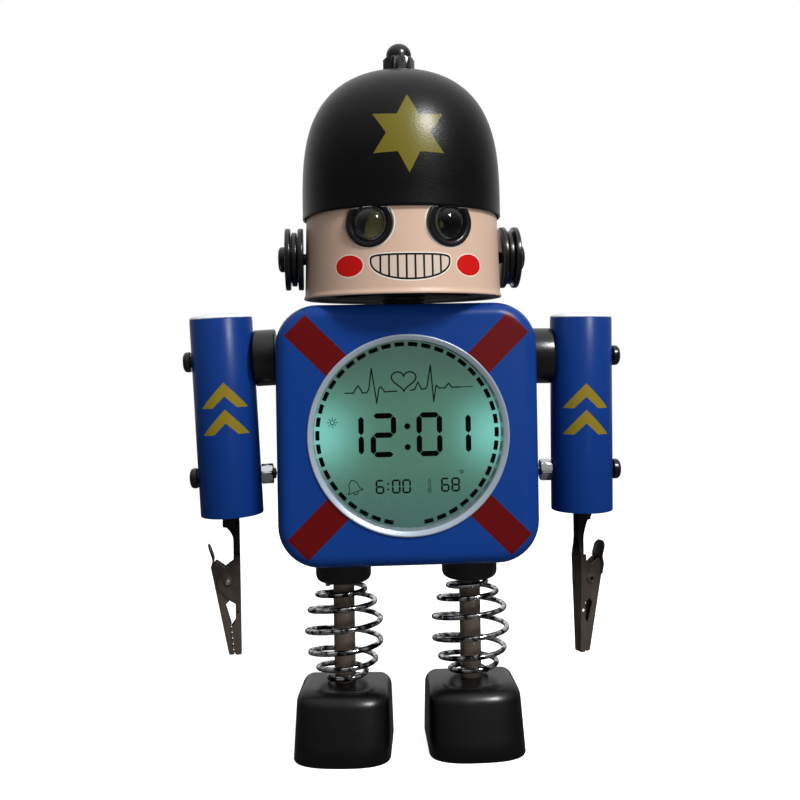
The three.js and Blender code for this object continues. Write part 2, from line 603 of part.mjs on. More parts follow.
function clip(name, side) {
  const { back, tip, sheet } = CLIP;
  const rivetHole = rod(RIVET.radius + GAP, -5, 5, 'y');
  const jawHalf = CLIP_HALF.jaw;
  const boltZ = CLIP_DROP[name];
  const barrelX = -CLIP.axisToPivot;
  const { radius, up, down } = CLIP_BARREL;
  const barrel = rod(radius, boltZ - down, boltZ + up, 'z', 12).translate([barrelX, 0, 0]);
  const boltHole = rod(HAND.boltR + GAP, -6, 6, 'x')
    .rotate([0, 0, -side * CLIP_TURN[name]])
    .translate([barrelX, 0, boltZ]);
  const neckFrom = boltZ - down;
  const stem = plate([
    [-back, 8], [-1.9, 8], [-1.9, 16.5], [-0.2, neckFrom - 0.6], [1.8, neckFrom + 1],
    [1.8, neckFrom + 2], [-back, neckFrom + 2],
  ], -CLIP_STEM_HALF, CLIP_STEM_HALF);
  const web = plate([[-back, -tip], [-back + sheet, -tip], [-back + sheet, 12], [-back, 12]],
    -jawHalf, jawHalf);
  const jaw = cut(
    join(pairOfCheeks(jawOutline(), jawHalf), web, stem, barrel),
    rivetHole,
    boltHole,
  );
  const leverHalf = CLIP_HALF.lever;
  const leverWeb = plate([[6.1, 5.2], [5.6, 5.2], [-0.3, -tip], [0.2, -tip]], -leverHalf, leverHalf);
  const tab = plate([[5.5, 3], [6.1, 5.2], [5.3, 7.4], [7.1, 12.8], [6.4, 13], [4.1, 7]], -3, 3);
  const lever = cut(join(pairOfCheeks(leverOutline(), leverHalf), leverWeb, tab), rivetHole);
  const headAt = jawHalf + GAP;
  const rivet = join(
    rod(RIVET.radius, -headAt - 0.1, headAt + 0.1, 'y'),
    rod(RIVET.headR, headAt, headAt + RIVET.head, 'y'),
    rod(RIVET.headR, -headAt - RIVET.head, -headAt, 'y'),
  );
  const parts = new THREE.Group();
  parts.add(mesh(`clip_jaw_${name}`, jaw, NICKEL));
  parts.add(mesh(`clip_lever_${name}`, lever, NICKEL));
  parts.add(mesh(`clip_rivet_${name}`, rivet, NICKEL));
  parts.add(mesh(`clip_spring_${name}`, clipSpring(), CHROME));
  at(parts, CLIP.axisToPivot, 0, -CLIP_DROP[name]);
  const hanging = new THREE.Group();
  hanging.rotation.z = (side < 0 ? Math.PI : 0) + side * degrees(CLIP_TURN[name]);
  hanging.add(parts);
  return at(hanging, ...handPlace(name, side));
}

// The middle of the hand bolt, after the arm's lean.
function handPlace(name, side) {
  const lean = degrees(ARM_LEAN[name]);
  const outward = ARM.out * Math.cos(lean) - HAND.drop * Math.sin(lean);
  const down = ARM.out * Math.sin(lean) + HAND.drop * Math.cos(lean);
  return [side * (BODY_HALF + outward), 0, ARM_Z[name] - down];
}

class Coil extends THREE.Curve {
  constructor(turns, radiusAt, riseAt, start = 0) {
    super();
    Object.assign(this, { turns, radiusAt, riseAt, start });
  }

  getPoint(t, target = new THREE.Vector3()) {
    const angle = this.start + 2 * Math.PI * this.turns * t;
    const r = this.radiusAt(t);
    return target.set(r * Math.cos(angle), r * Math.sin(angle), this.riseAt(t));
  }
}

// A wire swept along a coil: sides round the wire, steps for each turn.
function coiledWire(coil, wire, sides, stepsPerTurn) {
  const section = new THREE.Shape();
  for (let i = 0; i < sides; i += 1) {
    const angle = (i / sides) * 2 * Math.PI;
    const corner = [wire * Math.cos(angle), wire * Math.sin(angle)];
    if (i === 0) section.moveTo(...corner);
    else section.lineTo(...corner);
  }
  const steps = Math.round(coil.turns * stepsPerTurn);
  const options = { steps, extrudePath: coil, bevelEnabled: false };
  return solid(new THREE.ExtrudeGeometry(section, options));
}

function clipSpring() {
  const { radius, wire, turns, pitch } = CLIP_COIL;
  const rise = (t) => (t - 0.5) * turns * pitch;
  const coil = new Coil(turns, () => radius, rise);
  return coiledWire(coil, wire / 2, 5, 9).rotate([90, 0, 0]);
}

// ---------------------------------------------------------------- legs
function legSpring(name) {
  const { wire, endR, bulge, turns, bow, bunch } = SPRING;
  const low = FOOT.high + GAP + wire;
  const high = SOCKET.bottom - GAP - wire;
  const radiusAt = (t) => endR + bulge * (1 - (2 * t - 1) ** 2) ** bow;
  // The turns bunch together towards both ends.
  const share = (t) => t - (bunch * Math.sin(2 * Math.PI * t)) / (2 * Math.PI);
  const riseAt = (t) => low + (high - low) * share(t);
  const coil = new Coil(turns, radiusAt, riseAt, degrees(SPRING_START[name]));
  return coiledWire(coil, wire, 6, 11);
}

// The foot's outline seen from above: straight back, round corners and a bowed front that leans back.
function footOutline(z, inset) {
  const side = FOOT.halfWide - inset;
  const back = FOOT.back - inset;
  const corner = -(FOOT.corner - inset - (TOE_LEAN * z) / FOOT.high);
  const front = -(FOOT.front - inset - (TOE_LEAN * z) / FOOT.high);
  const steps = 6;
  const points = [];
  const round = Math.max(5 - inset, 1);
  for (let i = 0; i <= steps; i += 1) {
    const angle = (i / steps) * (Math.PI / 2);
    points.push([side - round + round * Math.cos(angle), back - round + round * Math.sin(angle)]);
  }
  const rear = points.map(([x, y]) => [-x, y]).reverse();
  const toe = [];
  const bows = 12;
  for (let i = 0; i <= bows; i += 1) {
    const angle = (i / bows) * Math.PI;
    const across = -Math.sign(Math.cos(angle)) * Math.abs(Math.cos(angle)) ** (2 / TOE_BOW);
    toe.push([side * across, corner + (front - corner) * Math.sin(angle) ** (2 / TOE_BOW)]);
  }
  const all = [...points, ...rear, ...toe];
  return all.map(([x, y]) => new THREE.Vector3(x, y, z));
}

function footBlock() {
  const { high, shrink, fillet } = FOOT;
  const outlines = [footOutline(0, 0.5), footOutline(0.5, 0), footOutline(high - fillet, shrink)];
  const steps = 4;
  for (let i = 1; i <= steps; i += 1) {
    const angle = (i / steps) * (Math.PI / 2);
    const inset = shrink + fillet * (1 - Math.cos(angle));
    outlines.push(footOutline(high - fillet + fillet * Math.sin(angle), inset));
  }
  return cut(loft(outlines), rod(ROD.radius + GAP, ROD.bottom - GAP, high + 1));
}

function legSocket() {
  const { radius, bottom, boreR, round } = SOCKET;
  const top = BODY.bottom - GAP;
  const profile = [[boreR, top], [boreR, bottom], [radius - round, bottom]];
  const steps = 3;
  for (let i = 1; i <= steps; i += 1) {
    const angle = (i / steps) * (Math.PI / 2);
    profile.push([radius - round + round * Math.sin(angle), bottom + round * (1 - Math.cos(angle))]);
  }
  profile.push([radius, top]);
  return ring(profile, 'z', 20);
}

function leg(name, side) {
  const shaft = rod(ROD.radius, ROD.bottom, ROD.top, 'z', 16);
  const headFrom = BODY.bottom + BODY.wall + GAP;
  const stem = rod(ROD.stemR, ROD.top - 1, headFrom + 1);
  const head = rod(ROD.headR, headFrom, headFrom + ROD.head);
  const group = new THREE.Group();
  group.add(mesh(`leg_socket_${name}`, legSocket(), SATIN_BLACK));
  group.add(mesh(`leg_rod_${name}`, join(shaft, stem, head), CHROME));
  group.add(mesh(`leg_spring_${name}`, legSpring(name), CHROME));
  const foot = mesh(`foot_${name}`, footBlock(), BLACK);
  foot.rotation.z = side * degrees(FOOT_TURN[name]);
  group.add(foot);
  return at(group, side * LEG_X[name], 0, 0);
}

// ---------------------------------------------------------------- the robot
const robot = new THREE.Group();
const head = new THREE.Group();
head.add(helmet(), faceBand(), headBasePlate());
head.rotation.z = degrees(HEAD_TURN);
robot.add(head, ...neck());
robot.add(frontShell(), ...clockFace(), rearCover(), ...buttons(), batteryDoor());
robot.add(...batteries(), speaker());
Object.entries(SIDES).forEach(([name, side]) => {
  head.add(...eye(name, side), ear(name, side));
  robot.add(arm(name, side), clip(name, side), leg(name, side));
});

export default robot;
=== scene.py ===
"""A robot-shaped alarm clock: a tin robot with a round backlit clock and clips for hands."""
import json
from math import atan2, ceil, copysign, cos, degrees, pi, radians, sin, sqrt

import bmesh
import bpy
from mathutils import Matrix, Vector


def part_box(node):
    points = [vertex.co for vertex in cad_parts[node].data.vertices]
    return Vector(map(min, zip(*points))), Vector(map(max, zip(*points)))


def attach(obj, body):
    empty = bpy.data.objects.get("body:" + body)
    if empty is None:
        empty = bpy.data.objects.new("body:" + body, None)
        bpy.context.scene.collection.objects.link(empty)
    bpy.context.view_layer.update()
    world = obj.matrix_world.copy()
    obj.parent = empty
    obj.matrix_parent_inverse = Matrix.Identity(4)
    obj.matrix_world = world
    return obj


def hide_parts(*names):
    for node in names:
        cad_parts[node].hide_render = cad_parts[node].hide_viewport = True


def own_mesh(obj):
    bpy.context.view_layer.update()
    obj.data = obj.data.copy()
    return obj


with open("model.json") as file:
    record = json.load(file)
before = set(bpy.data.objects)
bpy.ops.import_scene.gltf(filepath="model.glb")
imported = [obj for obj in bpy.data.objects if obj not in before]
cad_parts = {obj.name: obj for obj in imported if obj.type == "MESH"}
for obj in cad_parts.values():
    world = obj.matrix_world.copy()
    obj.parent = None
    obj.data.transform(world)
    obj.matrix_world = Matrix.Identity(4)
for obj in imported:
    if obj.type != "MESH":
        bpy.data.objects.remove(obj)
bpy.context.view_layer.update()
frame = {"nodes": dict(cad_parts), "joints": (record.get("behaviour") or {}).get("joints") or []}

MM = 0.001
SIDES = {"left": -1, "right": 1}
TAU = 2 * pi


# ------------------------------------------------------------------ what the frame says
def corners(node):
    """Lowest and highest corner of a CAD node, in millimetres."""
    low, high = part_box(node)
    return low / MM, high / MM


def centre(node):
    low, high = corners(node)
    return (low + high) / 2


def size(node):
    low, high = corners(node)
    return high - low


def girth(node):
    """A node's largest distance from the head's axis, in millimetres."""
    return max(v.co.to_2d().length for v in frame["nodes"][node].data.vertices) / MM


def azimuth(node):
    """Where a node stands round the head's axis: 0 is the front, degrees towards +X."""
    spot = centre(node)
    return degrees(atan2(spot.x, -spot.y))


JOINTS = {joint["name"]: joint for joint in frame["joints"]}


def joint_place(name):
    """A joint's point, in millimetres, and its unit axis."""
    joint = JOINTS[name]
    return Vector(joint["pos_m"]) / MM, Vector(joint["axis"]).normalized()


def basis(origin, x_axis, y_axis, z_axis):
    rows = Matrix((x_axis, y_axis, z_axis)).transposed().to_4x4()
    return Matrix.Translation(origin) @ rows


def arm_space(name):
    """Local space of an arm: x runs outward from the body's side, z = 0 is the shoulder bolt."""
    origin, axis = joint_place(f"arm_{name}_swing")
    outward = axis * SIDES[name]
    up = Vector((0, -SIDES[name], 0)).cross(outward)
    return basis(origin, outward, up.cross(outward), up)


def clip_space(name):
    """Local space of a clip: x runs outward from its back, z = 0 is the rivet."""
    origin, axis = joint_place(f"clip_{name}_open")
    up = Vector((0, 0, 1))
    return basis(origin, (-axis).cross(up), -axis, up)


# ------------------------------------------------------------------ mesh helpers, in millimetres
AXES = {
    "z": Matrix.Identity(4),
    "x": Matrix(((0, 0, 1, 0), (1, 0, 0, 0), (0, 1, 0, 0), (0, 0, 0, 1))),
    "y": Matrix(((0, 1, 0, 0), (0, 0, 1, 0), (1, 0, 0, 0), (0, 0, 0, 1))),
}


def revolve(profile, segments, axis="z", limit=None):
    """Turns a list of (radius, height) about an axis. limit(angle) may hold the radius in.

    A profile that starts off the axis is closed into a ring.
    """
    bm = bmesh.new()
    rings = []
    for radius, height in profile:
        if radius == 0:
            rings.append([bm.verts.new((0, 0, height))])
            continue
        ring = []
        for i in range(segments):
            angle = TAU * i / segments
            r = min(radius, limit(angle)) if limit else radius
            ring.append(bm.verts.new((r * cos(angle), r * sin(angle), height)))
        rings.append(ring)
    pairs = list(zip(rings, rings[1:]))
    if profile[0][0]:
        pairs.append((rings[-1], rings[0]))
    for low, high in pairs:
        for i in range(segments):
            j = (i + 1) % segments
            unique = list(dict.fromkeys((low[i % len(low)], low[j % len(low)],
                                         high[j % len(high)], high[i % len(high)])))
            if len(unique) > 2:
                bm.faces.new(unique)
    bm.transform(AXES[axis])
    bmesh.ops.recalc_face_normals(bm, faces=bm.faces)
    return bm


def rod(radius, low, high, sides=32, axis="z"):
    return revolve([(0, low), (radius, low), (radius, high), (0, high)], sides, axis)


def quarter(steps, first=0):
    """Angles of a quarter turn, up to the right angle."""
    return [i / steps * pi / 2 for i in range(first, steps + 1)]


def dome(radius, base, rise, steps):
    """A quarter ellipse that climbs to the axis, as (radius, height)."""
    points = [(radius * cos(a), base + rise * sin(a)) for a in quarter(steps, 1)]
    return points[:-1] + [(0, base + rise)]


def rounded(points, radius, steps=4, closed=True):
    """Rounds the corners of a 2-D outline with short arcs. A point may give its own radius."""
    result = []
    count = len(points)
    for i, point in enumerate(points):
        here = Vector(point[:2])
        own = point[2] if len(point) > 2 else radius
        if own == 0 or (not closed and i in (0, count - 1)):
            result.append(tuple(here))
            continue
        before = Vector(points[i - 1][:2]) - here
        after = Vector(points[(i + 1) % count][:2]) - here
        reach = min(own, before.length * 0.49, after.length * 0.49)
        start = here + before.normalized() * reach
        end = here + after.normalized() * reach
        for k in range(steps + 1):
            t = k / steps
            result.append(tuple(start * (1 - t) ** 2 + here * 2 * t * (1 - t) + end * t * t))
    return result


def loft(outlines):
    """A closed skin over 3-D outlines that all have the same number of points."""
    bm = bmesh.new()
    rings = [[bm.verts.new(p) for p in outline] for outline in outlines]
    count = len(outlines[0])
    for low, high in zip(rings, rings[1:]):
        for i in range(count):
            j = (i + 1) % count
            bm.faces.new((low[i], low[j], high[j], high[i]))
    bm.faces.new(rings[0])
    bm.faces.new(rings[-1])
    bmesh.ops.recalc_face_normals(bm, faces=bm.faces)
    return bm


def slab(outline, y0, y1, soft=0.0):
    """A plate whose outline lies in the XZ plane, from y0 to y1, with softened edges."""
    bm = loft([[(x, y, z) for x, z in outline] for y in (y0, y1)])
    return soften(bm, soft) if soft else bm


def block(low, high, soft=0.0):
    bm = bmesh.new()
    bmesh.ops.create_cube(bm, size=1)
    middle = (Vector(low) + Vector(high)) / 2
    spread = Vector(high) - Vector(low)
    bm.transform(Matrix.Translation(middle) @ Matrix.Diagonal((*spread, 1)))
    return soften(bm, soft, 3) if soft else bm


def soften(bm, width, steps=2, angle=35):
    """Rounds every edge that is sharper than the angle."""
    sharp = [e for e in bm.edges if e.is_manifold and e.calc_face_angle(0) > radians(angle)]
    bmesh.ops.bevel(bm, geom=sharp, offset=width, offset_type="OFFSET", segments=steps,
                    profile=0.5, affect="EDGES", clamp_overlap=True)
    return bm


def tangents(path):
    """The direction of a line at each of its points."""
    ends = [path[0], *path, path[-1]]
    return [(after - before).normalized() for before, after in zip(ends, ends[2:])]


def strip_sides(line, thick):
    """The two sides of a strip that follows a 2-D line, as a pair for each point."""
    path = [Vector(p) for p in line]
    sides = [Vector((-t.y, t.x)) * thick / 2 for t in tangents(path)]
    return [(here + side, here - side) for here, side in zip(path, sides)]


def wire(points, radius, sides):
    """A round wire along points, with domed ends."""
    path = [Vector(p) for p in points]
    directions = tangents(path)
    normal = directions[0].orthogonal().normalized()
    rings = []
    for point, tangent in zip(path, directions):
        normal = (normal - tangent * normal.dot(tangent)).normalized()
        rings.append((point, normal, tangent.cross(normal), radius))
    start, end = [
        [(point + outward * reach * radius, normal, other, radius * scale)
         for reach, scale in ((0.5, 0.87), (0.87, 0.5))]
        for (point, normal, other, _), outward in (
            (rings[0], -directions[0]), (rings[-1], directions[-1]))
    ]
    turns = [TAU * k / sides for k in range(sides)]
    return loft([[p + (n * cos(a) + o * sin(a)) * r for a in turns]
                 for p, n, o, r in start[::-1] + rings + end])


def turned(angle, axis="Z"):
    """A rotation by degrees."""
    return Matrix.Rotation(radians(angle), 4, axis)


def placed(bm, matrix):
    bm.transform(matrix)
    return bm


def moved(bm, x=0, y=0, z=0):
    return placed(bm, Matrix.Translation((x, y, z)))


def joined(*parts):
    """One mesh that holds several closed shells."""
    whole = bmesh.new()
    for part in parts:
        mesh = bpy.data.meshes.new("part")
        part.to_mesh(mesh)
        part.free()
        whole.from_mesh(mesh)
        bpy.data.meshes.remove(mesh)
    return whole


def raw_object(bm, name="tool"):
    bm.transform(Matrix.Scale(MM, 4))
    mesh = bpy.data.meshes.new(name)
    bm.to_mesh(mesh)
    bm.free()
    made = bpy.data.objects.new(name, mesh)
    bpy.context.scene.collection.objects.link(made)
    return made


def boolean(operation, bm, *tools):
    """Cuts or joins closed meshes and returns the result in millimetres."""
    base = raw_object(bm)
    extras = [raw_object(tool) for tool in tools]
    for tool in extras:
        modifier = base.modifiers.new("boolean", "BOOLEAN")
        modifier.operation = operation
        modifier.solver = "EXACT"
        modifier.object = tool
    bpy.context.view_layer.update()
    graph = bpy.context.evaluated_depsgraph_get()
    result = bmesh.new()
    result.from_mesh(base.evaluated_get(graph).to_mesh())
    for item in (base, *extras):
        mesh = item.data
        bpy.data.objects.remove(item)
        bpy.data.meshes.remove(mesh)
    result.transform(Matrix.Scale(1 / MM, 4))
    return result


def cut(bm, *tools):
    return boolean("DIFFERENCE", bm, *tools)


def fused(bm, *tools):
    return boolean("UNION", bm, *tools)


def piece(name, bm, finish, body, replaced=None, angle=32):
    """Makes a finished piece that rides on a body and stands for the CAD node named."""
    made = raw_object(bm, name)
    made.data.materials.append(finish.material)
    made.data.shade_smooth()
    made.data.set_sharp_from_angle(angle=radians(angle))
    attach(made, body)
    if replaced:
        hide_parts(replaced)
    return made


# ------------------------------------------------------------------ material helpers
def rgb(code):
    """A linear colour from a web colour such as 1d4f9c."""
    values = [int(code[i:i + 2], 16) / 255 for i in (0, 2, 4)]
    linear = [v / 12.92 if v <= 0.04045 else ((v + 0.055) / 1.055) ** 2.4 for v in values]
    return (*linear, 1)


class Field:
    """A number that varies over a surface: a node's output that takes ordinary arithmetic.

    Masks are 1 inside and 0 outside, and combine with &, | and ~.
    """

    def __init__(self, tree, socket):
        self.tree = tree
        self.socket = socket

    def math(self, operation, *others, clamp=False):
        node = self.tree.nodes.new("ShaderNodeMath")
        node.operation = operation
        node.use_clamp = clamp
        self.tree.links.new(self.socket, node.inputs[0])
        for slot, other in zip(node.inputs[1:], others):
            if isinstance(other, Field):
                self.tree.links.new(other.socket, slot)
            else:
                slot.default_value = other
        return Field(self.tree, node.outputs[0])

    def __abs__(self):
        return self.math("ABSOLUTE")

    def __invert__(self):
        return self.math("LESS_THAN", 0.5)


for symbol, node_operation in {
    "add": "ADD", "sub": "SUBTRACT", "mul": "MULTIPLY", "truediv": "DIVIDE", "pow": "POWER",
    "lt": "LESS_THAN", "gt": "GREATER_THAN", "and": "MULTIPLY", "or": "MAXIMUM",
}.items():
    setattr(Field, f"__{symbol}__", lambda self, other, word=node_operation: self.math(word, other))


class Finish:
    """A Principled material. Its places and sizes are in millimetres of the part's frame."""

    def __init__(self, name, color, **sockets):
        self.name = name
        self.material = bpy.data.materials.new(name)
        self.material.use_nodes = True
        self.tree = self.material.node_tree
        self.shader = self.tree.nodes["Principled BSDF"]
        self.set(Base_Color=rgb(color), **sockets)
        scale = self.node("VectorMath", operation="SCALE")
        scale.inputs["Scale"].default_value = 1 / MM
        self.link(self.node("TexCoord").outputs["Object"], scale.inputs[0])
        self.place = scale.outputs[0]

    def set(self, **sockets):
        for socket, value in sockets.items():
            self.shader.inputs[socket.replace("_", " ")].default_value = value
        return self

    def node(self, kind, **settings):
        made = self.tree.nodes.new(f"ShaderNode{kind}")
        for key, value in settings.items():
            setattr(made, key, value)
        return made

    def link(self, source, target):
        """Feeds an output into an input, or into a socket of the shader by name."""
        if isinstance(target, str):
            target = self.shader.inputs[target]
        self.tree.links.new(source, target)

    def vector(self, operation, source, value):
        made = self.node("VectorMath", operation=operation)
        made.inputs[1].default_value = value
        self.link(source, made.inputs[0])
        return made

    def along(self, origin, direction):
        """Distance from a point along a direction."""
        away = self.vector("SUBTRACT", self.place, origin)
        dot = self.vector("DOT_PRODUCT", away.outputs[0], direction)
        return Field(self.tree, dot.outputs["Value"])

    def noise(self, grain, detail=2.0, rough=0.5, stretch=(1, 1, 1)):
        """Noise from 0 to 1 whose blotches are about grain millimetres across."""
        scaled = self.vector("MULTIPLY", self.place, [s / grain for s in stretch])
        node = self.node("TexNoise")
        for socket, value in (("Scale", 1), ("Detail", detail), ("Roughness", rough)):
            node.inputs[socket].default_value = value
        self.link(scaled.outputs[0], node.inputs["Vector"])
        return Field(self.tree, node.outputs["Fac"])

    def blend(self, first, second, mask):
        """Mixes two colours by a mask. Each is a web colour, a linear colour or a socket."""
        mix = self.node("Mix", data_type="RGBA")
        self.link(mask.socket, mix.inputs[0])
        for slot, value in ((mix.inputs[6], first), (mix.inputs[7], second)):
            if isinstance(value, bpy.types.NodeSocket):
                self.link(value, slot)
            else:
                slot.default_value = rgb(value) if isinstance(value, str) else value
        return mix.outputs[2]

    def paint(self, layers, mottle, grain):
        """Base colour with printed layers and painted reflections [(colour, mask)] on top and a faint
        unevenness.
        """
        base = tuple(self.shader.inputs["Base Color"].default_value)
        darker = tuple(c * (1 - 2 * mottle) for c in base[:3]) + (1,)
        color = self.blend(darker, base, self.noise(grain, 3))
        for layer, mask in layers:
            color = self.blend(color, layer, mask)
        self.link(color, "Base Color")

    def vary_roughness(self, low, high, grain, stretch=(1, 1, 1)):
        spread = self.noise(grain, 4, 0.6, stretch) * (high - low) + low
        self.link(spread.socket, "Roughness")

    def bump(self, height, depth_mm):
        node = self.node("Bump")
        node.inputs["Strength"].default_value = 1.0
        node.inputs["Distance"].default_value = depth_mm * MM
        self.link(height.socket, node.inputs["Height"])
        self.link(node.outputs[0], "Normal")


def surface(name, color, shine, relief, depth, mottle=(0.05, 9), layers=None, **sockets):
    """A finish with an uneven colour (how much, grain), uneven gloss and a fine relief.

    shine is what vary_roughness takes, relief what noise takes, depth its height in millimetres,
    and layers(finish) gives the printed layers and the painted reflections.
    """
    finish = Finish(name, color, **sockets)
    finish.paint(layers(finish) if layers else [], *mottle)
    finish.vary_roughness(*shine)
    finish.bump(finish.noise(*relief), depth)
    return finish


def enamel(name, color, low, high, peel=0.012, coat=0.4, **sockets):
    """Sprayed enamel on tin: a faint orange peel, small roughness changes and a clear coat."""
    return surface(name, color, (low, high, 5), (1.1, 2), peel, Coat_Weight=coat,
                   Coat_Roughness=0.12, **sockets)


def metal(name, color, low, high, stretch=(1, 1, 1), grain=0.8, depth=0.004, mottle=(0.08, 3),
          layers=None, metallic=1.0):
    return surface(name, color, (low, high, grain, stretch), (grain, 3, 0.6, stretch), depth,
                   mottle, layers, Metallic=metallic)


def plastic(name, color, low, high, grain=0.5, depth=0.02, **sockets):
    return surface(name, color, (low, high, 3), (grain, 3, 0.6), depth, (0.1, 6), **sockets)


# ------------------------------------------------------------------ measures the parts share
BODY_MIDDLE = centre("display_bezel")
BODY_LOW, BODY_HIGH = corners("front_shell")
BODY_Z = BODY_MIDDLE.z
HEAD_R = girth("helmet")
HELMET_LOW = corners("helmet")[0].z
BAND_R = HEAD_R - 1.1
HEAD_TURN = (azimuth("eye_lens_left") + azimuth("eye_lens_right")) / 2
EYE_TURN = (azimuth("eye_lens_right") - azimuth("eye_lens_left")) / 2
EYE_Z = centre("eye_lens_left").z
BEZEL_R = 8.1
ROD_HOLE = 3.4
BOLT_HOLE = 2.3
CLIP_MIDDLE = (centre("clip_rivet_left") + centre("clip_rivet_right")) / 2
ARM_OUT = 19.7
ARM_R = 11.05


# ------------------------------------------------------------------ printed patterns
STAR = {"middle": (0, 0, 210.3), "points": 6, "outer": 13.35, "inner": 7.3}


def star(finish):
    """1 inside a star on the head's front, with one point up."""
    turn = radians(HEAD_TURN)
    across = finish.along(STAR["middle"], (cos(turn), sin(turn), 0))
    up = finish.along(STAR["middle"], (0, 0, 1))
    front = finish.along(STAR["middle"], (sin(turn), -cos(turn), 0))
    radius = (across ** 2 + up ** 2).math("SQRT")
    sector = TAU / STAR["points"]
    part = across.math("ARCTAN2", up) / sector + 0.5
    folded = abs(part.math("FRACT") - 0.5) * sector
    valley = Vector((cos(sector / 2), sin(sector / 2))) * STAR["inner"]
    edge = valley - Vector((STAR["outer"], 0))
    inside = (radius * folded.math("COSINE")) * edge.y + (radius * folded.math("SINE")) * -edge.x
    return (inside < edge.y * STAR["outer"]) & (front > 0)


def wrapped(finish, axis_point, radius, turn=0.0, right=(1, 0, 0), up=(0, 0, 1)):
    """Distance round a cylinder from turn degrees off its front, and distance along it."""
    across = finish.along(axis_point, right)
    front = finish.along(axis_point, (0, -1, 0))
    angle = across.math("ARCTAN2", front) - radians(turn)
    return angle * radius, finish.along(axis_point, up)


def ellipse(s, t, s0, t0, half_s, half_t, power=2.0):
    return abs((s - s0) / half_s) ** power + abs((t - t0) / half_t) ** power < 1


FACE = {"mouth_z": 166.8, "cheek_z": 167.5, "cheek_turn": 35.2, "cheek": (5.25, 3.55)}
MOUTH = {"half": 13.5, "shoulder": 1.9, "rise": 2.4, "fall": 6.3, "line": 0.66, "tooth": 2.83}


def mouth(s, t, inset):
    """1 inside the mouth: nearly flat on top, one long curve below."""
    half = MOUTH["half"] - inset
    above = ellipse(s, t, 0, MOUTH["shoulder"], half, MOUTH["rise"] - inset, 4.5)
    below = ellipse(s, t, 0, MOUTH["shoulder"], half, MOUTH["fall"] - inset, 2.1)
    upper = t > MOUTH["shoulder"]
    return (upper & above) | (~upper & below)


def face_print(finish):
    """The cheeks, the white lines round them and the eyes, and the mouth with its teeth."""
    s, z = wrapped(finish, (0, 0, 0), BAND_R, HEAD_TURN)
    mouth_t = z - FACE["mouth_z"]
    pitch = MOUTH["tooth"]
    nearest = abs((s / pitch).math("FRACT") - 0.5) * pitch
    gaps = (nearest < MOUTH["line"] / 2) & (abs(s) < 4 * pitch)
    inner = mouth(s, mouth_t, MOUTH["line"])
    white, ink = "e0d7cd", "0b0a0a"
    wide, high = FACE["cheek"]
    rim = BEZEL_R + 0.45
    layers = []
    for side in SIDES.values():
        cheek = side * radians(FACE["cheek_turn"]) * BAND_R
        eye = side * radians(EYE_TURN) * BAND_R
        layers += [
            (white, ellipse(s, z, cheek, FACE["cheek_z"], wide + 0.3, high + 0.3)),
            ("bb0e0c", ellipse(s, z, cheek, FACE["cheek_z"], wide, high)),
            (white, ellipse(s, z, eye, EYE_Z, rim, rim)),
        ]
    return layers + [(white, mouth(s, mouth_t, -0.35)), (ink, mouth(s, mouth_t, 0)),
                     ("c6b4a6", inner), (ink, gaps & inner)]


BAR = {"half": 4.95, "reach": 53.6}


def body_bars(finish):
    """Four bars from the corners of the front towards the dial."""
    x = abs(finish.along(BODY_MIDDLE, (1, 0, 0)))
    z = abs(finish.along(BODY_MIDDLE, (0, 0, 1)))
    beside = abs(x - z) / sqrt(2) < BAR["half"]
    within = (x + z) / sqrt(2) < BAR["reach"]
    return beside & within & (finish.along(BODY_MIDDLE, (0, -1, 0)) > 0)


CHEVRON = {"half": 8.8, "high": 8.8, "thick": 4.8, "pitch": 9.3, "inner_slope": 0.93}
CHEVRON_APEX = {"left": -7.7, "right": -9.8}
CHEVRON_TURN = {"left": 5, "right": -4}


def chevrons(finish, name):
    """Two arrowheads that point up the arm, one above the other, with level feet."""
    space = arm_space(name)
    outward, _, up = space.to_3x3().col
    axis_point = space.to_translation() + outward * ARM_OUT
    s, z = wrapped(finish, axis_point, ARM_R, CHEVRON_TURN[name], outward * SIDES[name], up)
    masks = []
    for k in range(2):
        below = (z - (CHEVRON_APEX[name] - k * CHEVRON["pitch"])) * -1
        reach = abs(s)
        under_edge = below > reach * (CHEVRON["high"] / CHEVRON["half"])
        over_notch = below < reach * CHEVRON["inner_slope"] + CHEVRON["thick"]
        masks.append(under_edge & over_notch & (below < CHEVRON["high"]))
    return masks[0] | masks[1]


# ------------------------------------------------------------------ finishes
def printed_tin(name, color, specular, layers, shine=(0.24, 0.36, 7), relief=(1.3, 2), depth=0.02,
                mottle=(0.05, 14)):
    """Painted tin with printed layers and no clear coat."""
    return surface(name, color, shine, relief, depth, mottle, layers, Specular_IOR_Level=specular)


def clear_plastic(name, tint, ior):
    finish = Finish(name, tint, Transmission_Weight=1.0, IOR=ior)
    finish.vary_roughness(0.0, 0.05, 3)
    return finish


def screen_finish(middle, radius):
    """A backlit screen: even sage green, brighter and bluer at the two lamps, left and right."""
    finish = Finish("screen", "16302a", Roughness=0.35, Emission_Strength=0.68,
                    Specular_IOR_Level=0.1)
    x = finish.along(middle, (1, 0, 0))
    z = finish.along(middle, (0, 0, 1))
    away = (abs(x) * -1 + radius) ** 2 + (z * 1.05) ** 2
    near_lamp = (away * (-1 / 150)).math("EXPONENT")
    upper = ((z - 8) / 26).math("MULTIPLY", 0.9, clamp=True)
    lower = ((z + 10) / -24).math("MULTIPLY", 0.8, clamp=True)
    color = finish.blend("5c8975", "648f7a", finish.noise(15, 2))
    for other, mask in (("526a66", upper), ("4d7074", lower), ("95eee1", near_lamp)):
        color = finish.blend(color, other, mask)
    finish.link(color, "Emission Color")
    return finish


def painted_wire_reflections(finish):
    """Painted dark reflections along the springs' wire."""
    return [("232429", ((finish.noise(2.8, 2) - 0.5) * 6).math("ADD", 0.45, clamp=True))]


